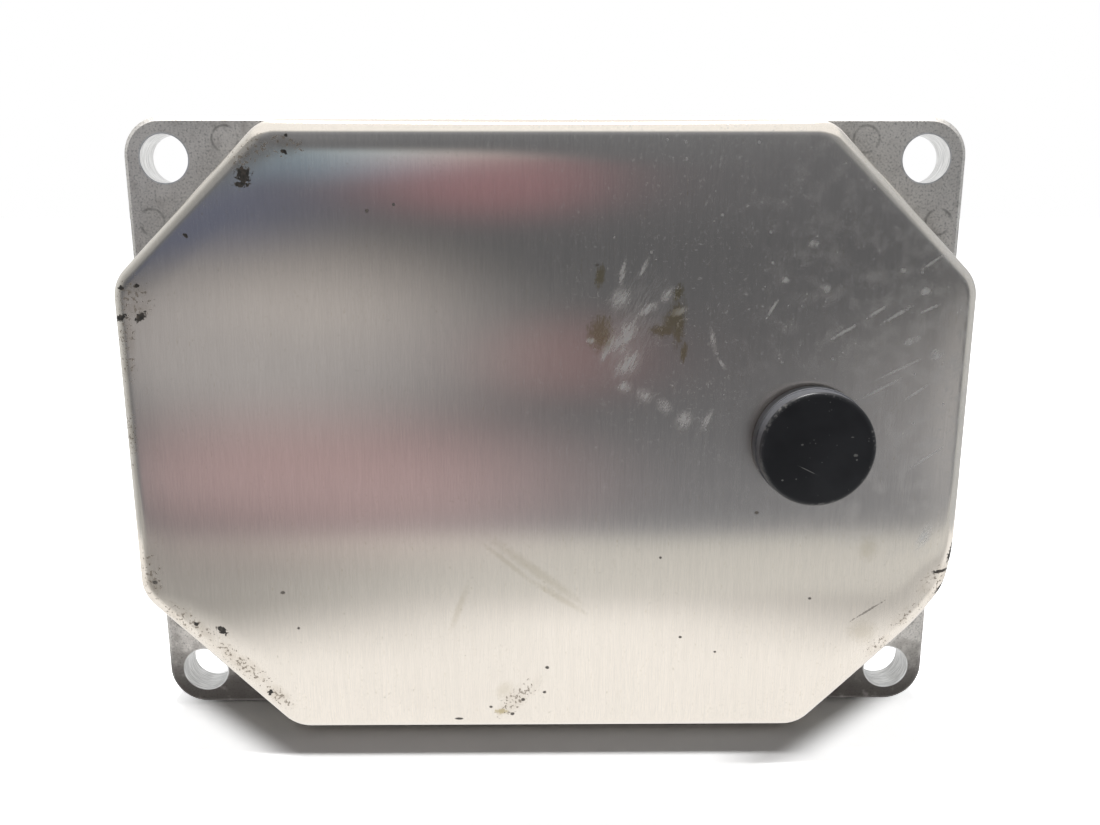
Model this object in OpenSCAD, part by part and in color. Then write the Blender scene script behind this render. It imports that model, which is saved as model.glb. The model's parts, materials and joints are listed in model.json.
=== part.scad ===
// Engine control unit: a cast aluminium tray with four bolt lugs, closed by a pressed
// octagonal cover with a round breather, and with two plug sockets on its ribbed back.
// Units are millimetres. X runs along the width, Y from the cover towards the sockets
// and Z up. The origin is the centre of the four lug holes, on the lugs' front face.

/* [Casting] */
// Width of the mounting plate, across the lugs
plate_w = 150; // [146:1:170]
// Height of the mounting plate
plate_h = 113; // [110:1:130]
// Thickness of the plate at the lugs
plate_t = 7.2; // [6.6:0.1:9]
// Corner radius of the plate
plate_r = 7; // [3:0.5:9]
// Chamfer round the plate's front and back edges
plate_chamfer = 0.8; // [0.3:0.1:1.5]
// Diameter of the lug holes
hole_d = 8.5; // [6:0.1:9]
// Distance of each lug hole from the plate's two nearest edges
hole_inset = 7.25; // [6.5:0.05:8]
// Countersink at the back of each lug hole
hole_chamfer = 0.8; // [0.3:0.1:1.5]
// Floor of the tray behind the circuit board
floor_t = 3.5; // [2.6:0.1:4]
// Wall of the rim that stands inside the cover
rim_wall = 2.4; // [1.6:0.1:3]
// Height of the shoulder that the cover's edge meets
shoulder_h = 2.5; // [1:0.1:4]
// How far the shoulder stays inside the cover's outline
shoulder_step = 0.3; // [0.1:0.1:1]

/* [Cooling ribs] */
// Spacing of the ribs
rib_pitch = 8; // [6:0.5:12]
// Depth of the ribs behind the plate
rib_depth = 8; // [4:0.5:12]
// Thickness of a rib where it leaves the plate
rib_root = 3; // [2.4:0.1:4]
// Thickness of a rib at its tip
rib_tip = 2; // [1.2:0.1:2.3]
// Room left for a bolt's washer beside the ribs
washer_d = 18; // [14:0.5:20]

/* [Cover] */
// How far the cover's sides stay inside the plate's edges
cover_side_inset = 0.7; // [0.5:0.1:3]
// How far the cover's top and bottom stay inside the plate's edges
cover_top_inset = 1.1; // [0.5:0.1:3]
// Leg of the corner cuts, along either edge
cover_cut = 26.8; // [24:0.1:29]
// Radius of the octagon's corners
cover_corner_r = 7; // [5.5:0.1:9]
// Height of the cover's face above the lugs
cover_rise = 13; // [12.5:0.1:18]
// Outer bend radius round the cover's face
cover_bend_r = 2; // [1.6:0.1:3]
// Thickness of the cover's sheet
sheet_t = 1.2; // [0.8:0.1:1.5]
// Gap between the cover's skirt and the rim
skirt_clear = 0.25; // [0.1:0.05:0.5]
// Thickness of the sealant bead under the cover
seal_t = 0.8; // [0.4:0.1:1.2]
// How far the bead stays inside the rim's outer edge
seal_step = 0.8; // [0.6:0.1:1]

/* [Breather] */
// Place of the breather along the width
vent_x = 46.3; // [38:0.1:52]
// Place of the breather along the height
vent_z = 0.5; // [-8:0.1:8]
// Diameter of the cap at its foot
cap_d = 20.5; // [19.5:0.1:24]
// Diameter of the cap above its step
cap_front_d = 19.9; // [19:0.1:20.1]
// Height of the cap above the cover
cap_h = 5.6; // [5:0.1:8]
// Height of the step in the cap's flank
cap_step_h = 2.6; // [2:0.1:3.2]
// Chamfer round the cap's face
cap_chamfer = 0.7; // [0.3:0.1:1]
// Wall across the cap's face
cap_face_t = 1.5; // [1:0.1:1.8]
// Gap between the cap's foot and the cover
cap_gap = 0.2; // [0.1:0.05:0.5]
// Diameter of the breather's flange, under the cap
vent_flange_d = 17.2; // [16.6:0.1:17.4]
// Thickness of that flange
vent_flange_t = 1.6; // [1.4:0.1:1.8]
// Snap clearance between flange and cap
cap_clear = 0.05; // [0.02:0.01:0.1]
// Width of the ledge by which the cap sits on the flange
cap_ledge = 0.8; // [0.5:0.1:1]
// Diameter of the raised membrane seat
vent_seat_d = 12.4; // [11.8:0.1:13]
// Height of the membrane seat above the flange
vent_seat_h = 1.4; // [0.8:0.1:1.6]
// Diameter of the air bore
vent_bore_d = 4.4; // [3:0.1:5.5]
// Diameter of the breather's stem
vent_stem_d = 9.6; // [8:0.1:10]
// Clearance of the stem in the cover
vent_stem_clear = 0.2; // [0.1:0.05:0.3]
// Reach of the snap legs below the sheet
vent_leg = 2.4; // [1.8:0.1:2.6]
// How far the snap legs' barbs stand out
vent_barb = 0.7; // [0.4:0.1:1]
// Gap between the barbs and the sheet
vent_barb_gap = 0.1; // [0.05:0.05:0.3]
// Width of the slots between the snap legs
vent_slot = 1.6; // [1:0.1:2.4]
// Diameter of the membrane
membrane_d = 10.6; // [8:0.1:11.4]
// Thickness of the membrane
membrane_t = 0.3; // [0.2:0.05:0.5]
// Gap round the membrane
membrane_clear = 0.1; // [0.05:0.05:0.2]
// Inner diameter of the breather's seal ring
vent_ring_d = 12.6; // [11.8:0.1:13]
// Width of the seal ring's section
vent_ring_w = 1.4; // [1:0.1:1.7]
// Height of the seal ring's section
vent_ring_h = 0.8; // [0.5:0.05:1]
// Clearance of the seal ring in its groove
vent_ring_clear = 0.1; // [0.05:0.05:0.2]

/* [Sockets] */
// Width of a socket's shroud
header_w = 56; // [52:0.5:58]
// Height of a socket's shroud
header_h = 30; // [27:0.5:31]
// Wall of the shroud
header_wall = 2.2; // [1.6:0.1:2.6]
// Corner radius of the shroud
header_r = 4; // [3:0.1:5]
// Reach of the shroud behind the plate
header_reach = 24; // [20:0.5:30]
// Gap between the two sockets' flanges
header_spacing = 4; // [3:0.5:6]
// Place of the sockets along the height
header_z = -12; // [-13:0.5:-6]
// Width of the flange beside the shroud
flange_side = 1.6; // [1.2:0.1:2]
// Width of the flange above and below the shroud
flange_end = 5; // [4.8:0.1:5.5]
// Thickness of the flange
flange_t = 2.5; // [2:0.1:2.8]
// Thickness of the flat seal behind the flange
gasket_t = 1; // [0.6:0.1:1.2]
// Gap between the shroud and the casting's window
window_clear = 0.4; // [0.2:0.05:0.8]
// Height of the cast collar round each window
collar_h = 3.5; // [3:0.1:6]
// How far the collar reaches past the flange
collar_margin = 1.5; // [1:0.1:1.9]
// Diameter of the studs that a plug's lever takes hold of
stud_d = 5; // [3:0.1:6]
// Reach of those studs
stud_reach = 1.8; // [1:0.1:2.5]
// Place of the studs from the shroud's mouth
stud_from_mouth = 9; // [7:0.5:11]
// Width and height of the coding ribs in a socket
key_size = 1.2; // [0.8:0.1:1.5]
// Place of the first coding rib from the socket's middle
key_x = 9; // [6:0.5:12]

/* [Pins] */
// Columns of signal pins in a socket
pin_columns = 11; // [8:1:11]
// Rows of pins in a socket
pin_rows = 3; // [2:1:3]
// Spacing of the columns
pin_pitch = 3.4; // [2.6:0.1:3.5]
// Spacing of the rows
row_pitch = 7; // [4:0.1:7.5]
// Width of a signal pin
pin_w = 0.8; // [0.7:0.05:1.2]
// Width of a power blade
blade_w = 2.4; // [1.5:0.1:2.8]
// Thickness of all pins
pin_t = 0.64; // [0.5:0.02:0.7]
// Width of a pin's solder tail
tail_w = 0.6; // [0.4:0.05:0.65]
// Reach of the tails through the board
tail_reach = 1.2; // [0.6:0.1:1.6]
// Length of pin that stands free in the socket
pin_reach = 9.5; // [6:0.5:11]
// Bevel at a pin's tip
pin_bevel = 0.2; // [0.1:0.05:0.3]
// Distance from the power blades to the first column
blade_pitch = 6; // [4.5:0.1:6.5]
// Clearance hole for a tail in the board
tail_hole_d = 1.1; // [1:0.05:1.4]
// Gap between the pin carrier and the shroud
carrier_clear = 0.1; // [0.05:0.05:0.2]
// Lip by which the carrier sits on the shroud's flange
carrier_lip = 1.5; // [1:0.1:1.7]
// Thickness of that lip
carrier_lip_t = 1.4; // [1:0.1:1.6]
// Face of the carrier above the plate's back
carrier_rise = 1; // [0.5:0.1:3]

/* [Circuit board and screws] */
// Thickness of the board
board_t = 1.6; // [1.2:0.1:2]
// Gap between the board's edge and the rim
board_clear = 1; // [0.6:0.1:2]
// Height of the board above the tray's floor
standoff = 6.6; // [6.4:0.1:7.2]
// Diameter of the bosses that carry the board
boss_d = 8; // [6.5:0.1:8.5]
// Distance of the bosses from the board's edges
boss_inset = 5; // [4.3:0.1:5.5]
// Thread diameter of the screws
screw_d = 3; // [2.5:0.1:3]
// Gap round the thread in its bore
thread_clear = 0.05; // [0.02:0.01:0.1]
// Gap round the screw in the piece that it holds
screw_clear = 0.2; // [0.1:0.05:0.4]
// Diameter of a screw head
screw_head_d = 5.4; // [4.8:0.1:5.6]
// Height of a screw head
screw_head_h = 1.8; // [1.2:0.1:2.2]
// Length of thread in the casting
screw_grip = 5; // [3.5:0.1:5.2]
// Unthreaded room at the end of each bore
screw_spare = 0.4; // [0.2:0.1:0.6]
// Width across the corners of a screw's drive
drive_d = 2.8; // [2:0.1:3.2]
// Depth of a screw's drive
drive_depth = 1; // [0.5:0.1:1.1]
// Place of the flange screws from the socket's middle
flange_screw_x = 20; // [14:0.5:22]

/* [Parts on the board] */
// Least gap between neighbouring parts
part_gap = 2.4; // [1.6:0.1:2.8]
// Microcontroller: width, length and height
mcu_size = [23, 23, 2.2]; // [1.8:0.1:24]
// Edge of the microcontroller's carrier past its moulding
mcu_edge = 1.5; // [0.5:0.1:3]
// Flash memory: width, length and height of its moulding
flash_size = [11, 18, 1.4]; // [1:0.1:19]
// Supply regulator: width, length and height of its moulding
regulator_size = [10, 14, 3]; // [1.5:0.1:16]
// Injector driver: width, length and height of its moulding
driver_size = [13, 16, 3]; // [1.5:0.1:18]
// Bus transceiver: width, length and height of its moulding
bus_size = [4, 5, 1.6]; // [1:0.1:6]
// Suppressor diode: width, length and height of its moulding
diode_size = [7, 6, 2.4]; // [1.5:0.1:8]
// Choke coil: width, length and height
choke_size = [10, 10, 4.6]; // [2:0.1:11]
// Quartz crystal: width, length and height
crystal_size = [11, 4.6, 3.6]; // [2:0.1:12]
// Pressure sensor: width, length and height of its box
sensor_size = [7, 7, 3]; // [2:0.1:8]
// Diameter of the pressure sensor's port
sensor_port_d = 3; // [2.2:0.1:4]
// Height of the pressure sensor's port
sensor_port_h = 1.2; // [0.6:0.1:2]
// Diameter of an electrolytic capacitor's can
can_d = 8; // [6:0.1:8.5]
// Height of an electrolytic capacitor
can_h = 5.4; // [4:0.1:5.8]
// Ceramic capacitor: width, length and height
ceramic_size = [1.6, 3.2, 1.4]; // [1:0.1:4]
// Chip resistor: width, length and height
resistor_size = [1.6, 3.2, 0.6]; // [0.4:0.1:4]
// Power transistor: width, length and height
fet_size = [10.2, 15, 4.4]; // [3:0.1:16]
// Ignition driver: width, length and height
igniter_size = [6.6, 9.6, 2.4]; // [2:0.1:10]
// Thickness of the soft pads between transistors and casting
pad_t = 0.8; // [0.4:0.1:1]

/* [Hidden] */
$fn = 64;

// Colours
cast_grey = "#8d8c89";
sheet_silver = "#c4c1ba";
cap_black = "#1a1a1c";
moulding_black = "#232326";
seal_grey = "#4a4c50";
board_green = "#1f5b3c";
chip_black = "#2b2b2e";
tin = "#b9b7b0";
steel = "#8f9196";
ceramic_tan = "#a98a62";
pad_blue = "#7f9fb0";
membrane_white = "#eceae4";

// Overlap that keeps cuts clear of the faces they start from
eps = 0.5;

// Levels along Y, from the casting's floor to the cover's face
floor_y = plate_t - floor_t;
board_back_y = floor_y - standoff;
board_front_y = board_back_y - board_t;
cover_face_y = -cover_rise;
cover_inner_y = cover_face_y + sheet_t;
rim_y = cover_inner_y + seal_t;
rib_y = plate_t + rib_depth;

// Outlines, all set in from the cover's own octagon
cover_w = plate_w - 2 * cover_side_inset;
cover_h = plate_h - 2 * cover_top_inset;
rim_inset = sheet_t + skirt_clear;
cavity_inset = rim_inset + rim_wall;
board_inset = cavity_inset + board_clear;
least_corner_r = 0.5;
corner_steps = 6;

// Lug holes
hole_x = plate_w / 2 - hole_inset;
hole_z = plate_h / 2 - hole_inset;

// Sockets: flange, shroud, pins and their levels along Y
flange_size = [header_w + 2 * flange_side, header_h + 2 * flange_end];
header_x = (flange_size.x + header_spacing) / 2;
engine_pos = [-header_x, header_z];
vehicle_pos = [header_x, header_z];
socket_size = [header_w - 2 * header_wall, header_h - 2 * header_wall];
socket_r = header_r - header_wall;
window_size = [header_w, header_h] + 2 * [window_clear, window_clear];
window_r = header_r + window_clear;
flange_back_y = floor_y - gasket_t;
flange_front_y = flange_back_y - flange_t;
mouth_y = plate_t + header_reach;
carrier_front_y = flange_front_y - carrier_lip_t;
carrier_back_y = plate_t + carrier_rise;
pin_tip_y = carrier_back_y + pin_reach;
tail_y = board_front_y - tail_reach;
flange_screw_z = header_h / 2 + flange_end / 2;
collar_size = flange_size + 2 * [collar_margin, collar_margin];
collar_r = header_r;

// Gap between a collar and the foot of the ribs' slope
rib_break = 1.5;

// Fields of the board above and below the sockets
board_half = octagon_half(board_inset);
board_cut = octagon_cut(board_inset);
flange_top_z = header_z + flange_size.y / 2;
flange_low_z = header_z - flange_size.y / 2;
upper_z = (board_half.y + flange_top_z) / 2;
lower_z = (-board_half.y + flange_low_z) / 2;

// Board screws: near the ends of the top and bottom edges, and beside the upper field
boss_x = board_half.x - board_cut - boss_inset / 2;
boss_z = board_half.y - boss_inset;
boss_places = [
    for (sx = [-1, 1]) each [
        [sx * boss_x, boss_z],
        [sx * boss_x, -boss_z],
        [sx * (board_half.x - boss_inset), flange_top_z + boss_d]
    ]
];
flange_screw_places = [
    for (pos = [engine_pos, vehicle_pos]) each [
        for (sx = [-1, 1], sz = [-1, 1]) pos + [sx * flange_screw_x, sz * flange_screw_z]
    ]
];

// Leads of the moulded chips
lead_t = 0.2;
lead_w = 0.5;
lead_out = 0.5;
lead_foot = 0.7;
lead_span = lead_out + lead_foot;
chip_lift = 0.15;

// Places of the parts on the board, each beside its neighbour
mcu_pos = [0, upper_z];
flash_pos = [-(mcu_size.x + flash_size.x) / 2 - lead_span - part_gap, upper_z];
regulator_pos = [flash_pos.x - (flash_size.x + regulator_size.x) / 2 - 2 * lead_span - part_gap, upper_z];
driver_pos = [(mcu_size.x + driver_size.x) / 2 + lead_span + part_gap, upper_z];
choke_pos = [driver_pos.x + (driver_size.x + choke_size.x) / 2 + lead_span + part_gap, upper_z];
crystal_pos = [0, upper_z - (mcu_size.y + crystal_size.y) / 2 - part_gap];
can_edge = 0.15;
can_base = can_d + 2 * can_edge;
can_base_t = 0.8;
can_pitch = can_d + part_gap;
can_x = choke_pos.x + (choke_size.x + can_base) / 2 + part_gap;
can_places = [for (i = [-1:1]) [can_x, upper_z - can_d / 2 + i * can_pitch]];
sensor_pos = [0, lower_z];
bus_pos = [-(sensor_size.x + bus_size.x) / 2 - lead_span - part_gap, lower_z];
diode_pos = [(sensor_size.x + diode_size.x) / 2 + lead_span + part_gap, lower_z];
ceramic_x = regulator_pos.x - regulator_size.x / 2 - lead_span;
ceramic_pitch = [ceramic_size.x, ceramic_size.y] + [part_gap, part_gap] / 2;
ceramic_places = [
    for (i = [1:3], k = [-2:2]) [ceramic_x - i * ceramic_pitch.x, upper_z + k * ceramic_pitch.y]
];
resistor_x = diode_pos.x + diode_size.x / 2 + lead_span;
resistor_pitch = [resistor_size.x, resistor_size.y] + [part_gap, part_gap] / 2;
resistor_places = [
    for (i = [1:6], k = [-1:1]) [resistor_x + i * resistor_pitch.x, lower_z + k * resistor_pitch.y]
];

// Transistors on the back of the board, over pedestals on the tray's floor
fet_count = 6;
fet_z = upper_z - (igniter_size.y + part_gap) / 2;
fet_pitch = fet_size.x + part_gap;
fet_places = [for (i = [0:fet_count - 1]) [(i - (fet_count - 1) / 2) * fet_pitch, fet_z]];
igniter_count = 4;
igniter_z = upper_z + (fet_size.y + part_gap) / 2;
igniter_pitch = igniter_size.x + part_gap;
igniter_places = [
    for (i = [0:igniter_count - 1]) [(i - (igniter_count - 1) / 2) * igniter_pitch, igniter_z]
];

// Heat tab and legs of a transistor, and the ring in the choke's top
tab_len = 1.2;
tab_root = 0.6;
tab_t = 1.2;
leg_len = 3.5;
leg_w = 0.9;
leg_t = 0.6;
choke_ring_w = 0.8;

// Half width and half height of the cover's octagon, set in by d
function octagon_half(d) = [cover_w / 2 - d, cover_h / 2 - d];

// Leg of the corner cut of that octagon
function octagon_cut(d) = cover_cut - d * (2 - sqrt(2));

// The eight corners of that octagon, counter-clockwise from the right side
function octagon_corners(d) = let (half = octagon_half(d), c = octagon_cut(d)) [
    [half.x, half.y - c], [half.x - c, half.y], [-half.x + c, half.y], [-half.x, half.y - c],
    [-half.x, -half.y + c], [-half.x + c, -half.y], [half.x - c, -half.y], [half.x, -half.y + c]
];

// The octagon with round corners: an arc of 45 degrees about each corner of a smaller octagon
function octagon_points(d) = let (
    r = max(cover_corner_r - d, least_corner_r),
    corners = octagon_corners(d + r)
) [
    for (i = [0:7], k = [0:corner_steps])
        let (a = 45 * (i + k / corner_steps)) corners[i] + r * [cos(a), sin(a)]
];

// Points of a quarter arc of radius r about a centre, from 0 to 90 degrees
function quarter_arc(centre, r) = [
    for (k = [0:corner_steps]) let (a = 90 * k / corner_steps) centre + r * [cos(a), sin(a)]
];

// Places of a socket's signal pins, with the power blades on one side
function row_z(k) = (k - (pin_rows - 1) / 2) * row_pitch;
function column_x(i) = blade_pitch / 2 + (i - (pin_columns - 1) / 2) * pin_pitch;
function signal_places(pos, side) = [
    for (i = [0:pin_columns - 1], k = [0:pin_rows - 1]) pos + [side * column_x(i), row_z(k)]
];
function blade_places(pos, side) = [
    for (k = [0:pin_rows - 1]) pos + [side * (column_x(0) - blade_pitch), row_z(k)]
];

// The blades of the two sockets face each other, so side follows the socket's place
function blade_side(pos) = pos.x < 0 ? -1 : 1;
function all_pin_places(pos) = let (side = blade_side(pos))
    concat(signal_places(pos, side), blade_places(pos, side));

// An outline in X and Z, drawn out along Y from y0 to y1
module along_y(y0, y1) {
    translate([0, y1, 0])
        rotate([90, 0, 0])
            linear_extrude(y1 - y0)
                children();
}

// A round bar along Y
module rod(pos, d, y0, y1) {
    translate([pos.x, y1, pos.y])
        rotate([90, 0, 0])
            cylinder(d = d, h = y1 - y0);
}

// A block along Y
module block(pos, size, y0, y1) {
    translate([pos.x - size.x / 2, y0, pos.y - size.y / 2])
        cube([size.x, y1 - y0, size.y]);
}

// A block along Y with round corners: two slabs and four bars
module round_block(pos, size, r, y0, y1) {
    block(pos, [size.x, size.y - 2 * r], y0, y1);
    block(pos, [size.x - 2 * r, size.y], y0, y1);
    for (sx = [-1, 1], sz = [-1, 1])
        rod(pos + [sx * (size.x / 2 - r), sz * (size.y / 2 - r)], 2 * r, y0, y1);
}

// The cover's octagon, set in by d, along Y
module octagon(d, y0, y1) {
    along_y(y0, y1)
        polygon(octagon_points(d));
}

// The mounting plate: two chamfered slabs that cross, and four chamfered corner discs
module mounting_plate() {
    c = plate_chamfer;
    t = plate_t;
    half_w = plate_w / 2;
    half_h = plate_h / 2;
    translate([plate_r - half_w, 0, 0])
        rotate([90, 0, 90])
            linear_extrude(plate_w - 2 * plate_r)
                polygon([
                    [0, c - half_h], [c, -half_h], [t - c, -half_h], [t, c - half_h],
                    [t, half_h - c], [t - c, half_h], [c, half_h], [0, half_h - c]
                ]);
    translate([0, 0, plate_r - half_h])
        linear_extrude(plate_h - 2 * plate_r)
            polygon([
                [c - half_w, 0], [half_w - c, 0], [half_w, c], [half_w, t - c],
                [half_w - c, t], [c - half_w, t], [-half_w, t - c], [-half_w, c]
            ]);
    for (sx = [-1, 1], sz = [-1, 1])
        translate([sx * (half_w - plate_r), t, sz * (half_h - plate_r)])
            rotate([90, 0, 0])
                rotate_extrude()
                    polygon([
                        [0, 0], [plate_r - c, 0], [plate_r, c],
                        [plate_r, t - c], [plate_r - c, t], [0, t]
                    ]);
}

// Cooling ribs with drafted sides, broken off with a slope round the sockets
module cooling_ribs() {
    reach = plate_w / 2 - hole_inset - washer_d / 2 - rib_root / 2;
    count = floor(reach / rib_pitch);
    root_y = plate_t - eps;
    high_z = header_z + collar_size.y / 2 + rib_break;
    low_z = header_z - collar_size.y / 2 - rib_break;
    intersection() {
        for (i = [-count:count])
            translate([i * rib_pitch, 0, -plate_h / 2])
                linear_extrude(plate_h)
                    polygon([
                        [-rib_root / 2, root_y], [rib_root / 2, root_y],
                        [rib_tip / 2, rib_y], [-rib_tip / 2, rib_y]
                    ]);
        translate([-plate_w / 2, 0, 0])
            rotate([90, 0, 90])
                linear_extrude(plate_w) {
                    polygon([
                        [root_y, high_z], [rib_y, high_z + rib_depth],
                        [rib_y, plate_h / 2], [root_y, plate_h / 2]
                    ]);
                    polygon([
                        [root_y, low_z], [rib_y, low_z - rib_depth],
                        [rib_y, -plate_h / 2], [root_y, -plate_h / 2]
                    ]);
                }
    }
}

// A cast pedestal under a row of transistors, up to the soft pads
module pedestal(places, size) {
    span = places[len(places) - 1].x - places[0].x;
    block([0, places[0].y], [span + size.x, size.y], floor_y + pad_t + size.z - standoff, floor_y + eps);
}

// Lug holes with a countersink at the back
module lug_holes() {
    for (sx = [-1, 1], sz = [-1, 1]) {
        rod([sx * hole_x, sz * hole_z], hole_d, -eps, plate_t + eps);
        translate([sx * hole_x, plate_t, sz * hole_z])
            rotate([90, 0, 0])
                cylinder(d1 = hole_d + 2 * hole_chamfer, d2 = hole_d, h = hole_chamfer);
    }
}

module housing() {
    color(cast_grey)
        difference() {
            union() {
                difference() {
                    union() {
                        mounting_plate();
                        octagon(shoulder_step, -shoulder_h, plate_t / 2);
                        octagon(rim_inset, rim_y, plate_t / 2);
                        cooling_ribs();
                        for (pos = [engine_pos, vehicle_pos])
                            round_block(pos, collar_size, collar_r, plate_t - eps, plate_t + collar_h);
                    }
                    octagon(cavity_inset, rim_y - eps, floor_y);
                }
                for (pos = boss_places)
                    rod(pos, boss_d, board_back_y, floor_y + eps);
                pedestal(fet_places, fet_size);
                pedestal(igniter_places, igniter_size);
            }
            lug_holes();
            for (pos = [engine_pos, vehicle_pos])
                round_block(pos, window_size, window_r, floor_y - eps, plate_t + collar_h + eps);
            for (pos = boss_places)
                screw_bore(pos, board_back_y);
            for (pos = flange_screw_places)
                screw_bore(pos, floor_y);
        }
}

// A blind bore for a screw, from the face at y0
module screw_bore(pos, y0) {
    rod(pos, screw_d + 2 * thread_clear, y0 - eps, y0 + screw_grip + screw_spare);
}

// A screw that goes in along Y: head in front of the face at y0, thread to y1
module screw(pos, y0, y1) {
    difference() {
        union() {
            rod(pos, screw_head_d, y0 - screw_head_h, y0);
            rod(pos, screw_d, y0 - eps, y1);
        }
        translate([pos.x, y0 - screw_head_h + drive_depth, pos.y])
            rotate([90, 0, 0])
                cylinder(d = drive_d, h = drive_depth + eps, $fn = 6);
    }
}

// A pan of the cover's octagon, from the shoulder to y1, with round corners and a bent edge
module octagon_pan(r, bend_r, y0, y1) {
    depth = y0 - y1;
    bend = quarter_arc([r - bend_r, depth - bend_r], bend_r);
    hull()
        for (corner = octagon_corners(cover_corner_r))
            translate([corner.x, y0, corner.y])
                rotate([90, 0, 0])
                    rotate_extrude($fn = 32)
                        polygon(concat([[0, 0], [r, 0]], bend, [[0, depth]]));
}

module cover() {
    inner_r = cover_corner_r - sheet_t;
    color(sheet_silver)
        difference() {
            octagon_pan(cover_corner_r, cover_bend_r, -shoulder_h, cover_face_y);
            octagon_pan(inner_r, cover_bend_r - sheet_t, eps - shoulder_h, cover_inner_y);
            rod([vent_x, vent_z], vent_stem_d + 2 * vent_stem_clear, cover_face_y - eps, cover_inner_y + eps);
        }
}

module cover_seal() {
    color(seal_grey)
        difference() {
            octagon(rim_inset + seal_step, cover_inner_y, rim_y);
            octagon(cavity_inset, cover_inner_y - eps, rim_y + eps);
        }
}

// A body turned about the breather's axis; heights count outwards from the cover's face
module turned_on_vent() {
    translate([vent_x, cover_face_y, vent_z])
        rotate([90, 0, 0])
            rotate_extrude()
                children();
}

module vent_cap() {
    foot_r = cap_d / 2;
    front_r = cap_front_d / 2;
    flange_r = vent_flange_d / 2 + cap_clear;
    ledge_r = flange_r - cap_clear - cap_ledge;
    color(cap_black)
        turned_on_vent()
            polygon([
                [flange_r, cap_gap], [foot_r, cap_gap], [foot_r, cap_step_h], [front_r, cap_step_h],
                [front_r, cap_h - cap_chamfer], [front_r - cap_chamfer, cap_h], [0, cap_h],
                [0, cap_h - cap_face_t], [ledge_r, cap_h - cap_face_t], [ledge_r, vent_flange_t],
                [flange_r, vent_flange_t]
            ]);
}

module vent_body() {
    flange_r = vent_flange_d / 2;
    seat_r = vent_seat_d / 2;
    stem_r = vent_stem_d / 2;
    bore_r = vent_bore_d / 2;
    ring_in = vent_ring_d / 2 - vent_ring_clear;
    ring_out = vent_ring_d / 2 + vent_ring_w + vent_ring_clear;
    pocket_r = membrane_d / 2 + membrane_clear;
    seat_top = vent_flange_t + vent_seat_h;
    barb_top = -sheet_t - vent_barb_gap;
    leg_end = -sheet_t - vent_leg;
    color(moulding_black)
        difference() {
            turned_on_vent()
                polygon([
                    [bore_r, leg_end], [stem_r, leg_end], [stem_r + vent_barb, barb_top], [stem_r, barb_top],
                    [stem_r, 0], [ring_in, 0], [ring_in, vent_ring_h], [ring_out, vent_ring_h], [ring_out, 0],
                    [flange_r, 0], [flange_r, vent_flange_t], [seat_r, vent_flange_t], [seat_r, seat_top],
                    [pocket_r, seat_top], [pocket_r, seat_top - membrane_t], [bore_r, seat_top - membrane_t]
                ]);
            for (turn = [0, 90])
                translate([vent_x, cover_inner_y, vent_z])
                    rotate([0, turn, 0])
                        translate([-stem_r - 2 * vent_barb, vent_barb_gap, -vent_slot / 2])
                            cube([vent_stem_d + 4 * vent_barb, vent_leg + eps, vent_slot]);
        }
}

module vent_membrane() {
    seat_top = vent_flange_t + vent_seat_h;
    color(membrane_white)
        rod([vent_x, vent_z], membrane_d, cover_face_y - seat_top, cover_face_y - seat_top + membrane_t);
}

module vent_seal_ring() {
    color(seal_grey)
        turned_on_vent()
            translate([vent_ring_d / 2, 0])
                square([vent_ring_w, vent_ring_h]);
}

module circuit_board() {
    color(board_green)
        difference() {
            octagon(board_inset, board_front_y, board_back_y);
            for (pos = boss_places)
                rod(pos, screw_d + 2 * screw_clear, board_front_y - eps, board_back_y + eps);
            for (pos = [engine_pos, vehicle_pos], place = all_pin_places(pos))
                rod(place, tail_hole_d, board_front_y - eps, board_back_y + eps);
        }
}

module board_screws() {
    color(steel)
        for (pos = boss_places)
            screw(pos, board_front_y, board_back_y + screw_grip);
}

module header_screws() {
    color(steel)
        for (pos = flange_screw_places)
            screw(pos, flange_front_y, floor_y + screw_grip);
}

// A moulded shroud with a flange, lever studs and coding ribs
module header(pos) {
    difference() {
        union() {
            round_block(pos, flange_size, header_r, flange_front_y, flange_back_y);
            round_block(pos, [header_w, header_h], header_r, flange_front_y, mouth_y);
            translate([pos.x, mouth_y - stud_from_mouth, pos.y])
                cylinder(d = stud_d, h = header_h + 2 * stud_reach, center = true);
        }
        round_block(pos, socket_size, socket_r, flange_front_y - eps, mouth_y + eps);
        for (sx = [-1, 1], sz = [-1, 1])
            rod(pos + [sx * flange_screw_x, sz * flange_screw_z], screw_d + 2 * screw_clear,
                flange_front_y - eps, flange_back_y + eps);
    }
    for (x = [key_x, -key_x / 2])
        block(pos + [blade_side(pos) * x, -(socket_size.y - key_size) / 2 - header_wall / 4],
              [key_size, key_size + header_wall / 2], carrier_back_y + carrier_clear, mouth_y - key_size);
}

module engine_header() {
    color(moulding_black)
        header(engine_pos);
}

module vehicle_header() {
    color(moulding_black)
        header(vehicle_pos);
}

// A moulded block that holds the pins, with a lip on the shroud's flange
module pin_carrier(pos) {
    plug_size = socket_size - 2 * [carrier_clear, carrier_clear];
    lip_size = socket_size + 2 * [carrier_lip, carrier_lip];
    side = blade_side(pos);
    difference() {
        union() {
            round_block(pos, plug_size, socket_r - carrier_clear, carrier_front_y, carrier_back_y);
            block(pos, lip_size, carrier_front_y, flange_front_y);
        }
        for (place = signal_places(pos, side))
            block(place, [pin_w, pin_t], carrier_front_y - eps, carrier_back_y + eps);
        for (place = blade_places(pos, side))
            block(place, [blade_w, pin_t], carrier_front_y - eps, carrier_back_y + eps);
    }
}

module engine_pin_carrier() {
    color(chip_black)
        pin_carrier(engine_pos);
}

module vehicle_pin_carrier() {
    color(chip_black)
        pin_carrier(vehicle_pos);
}

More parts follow.
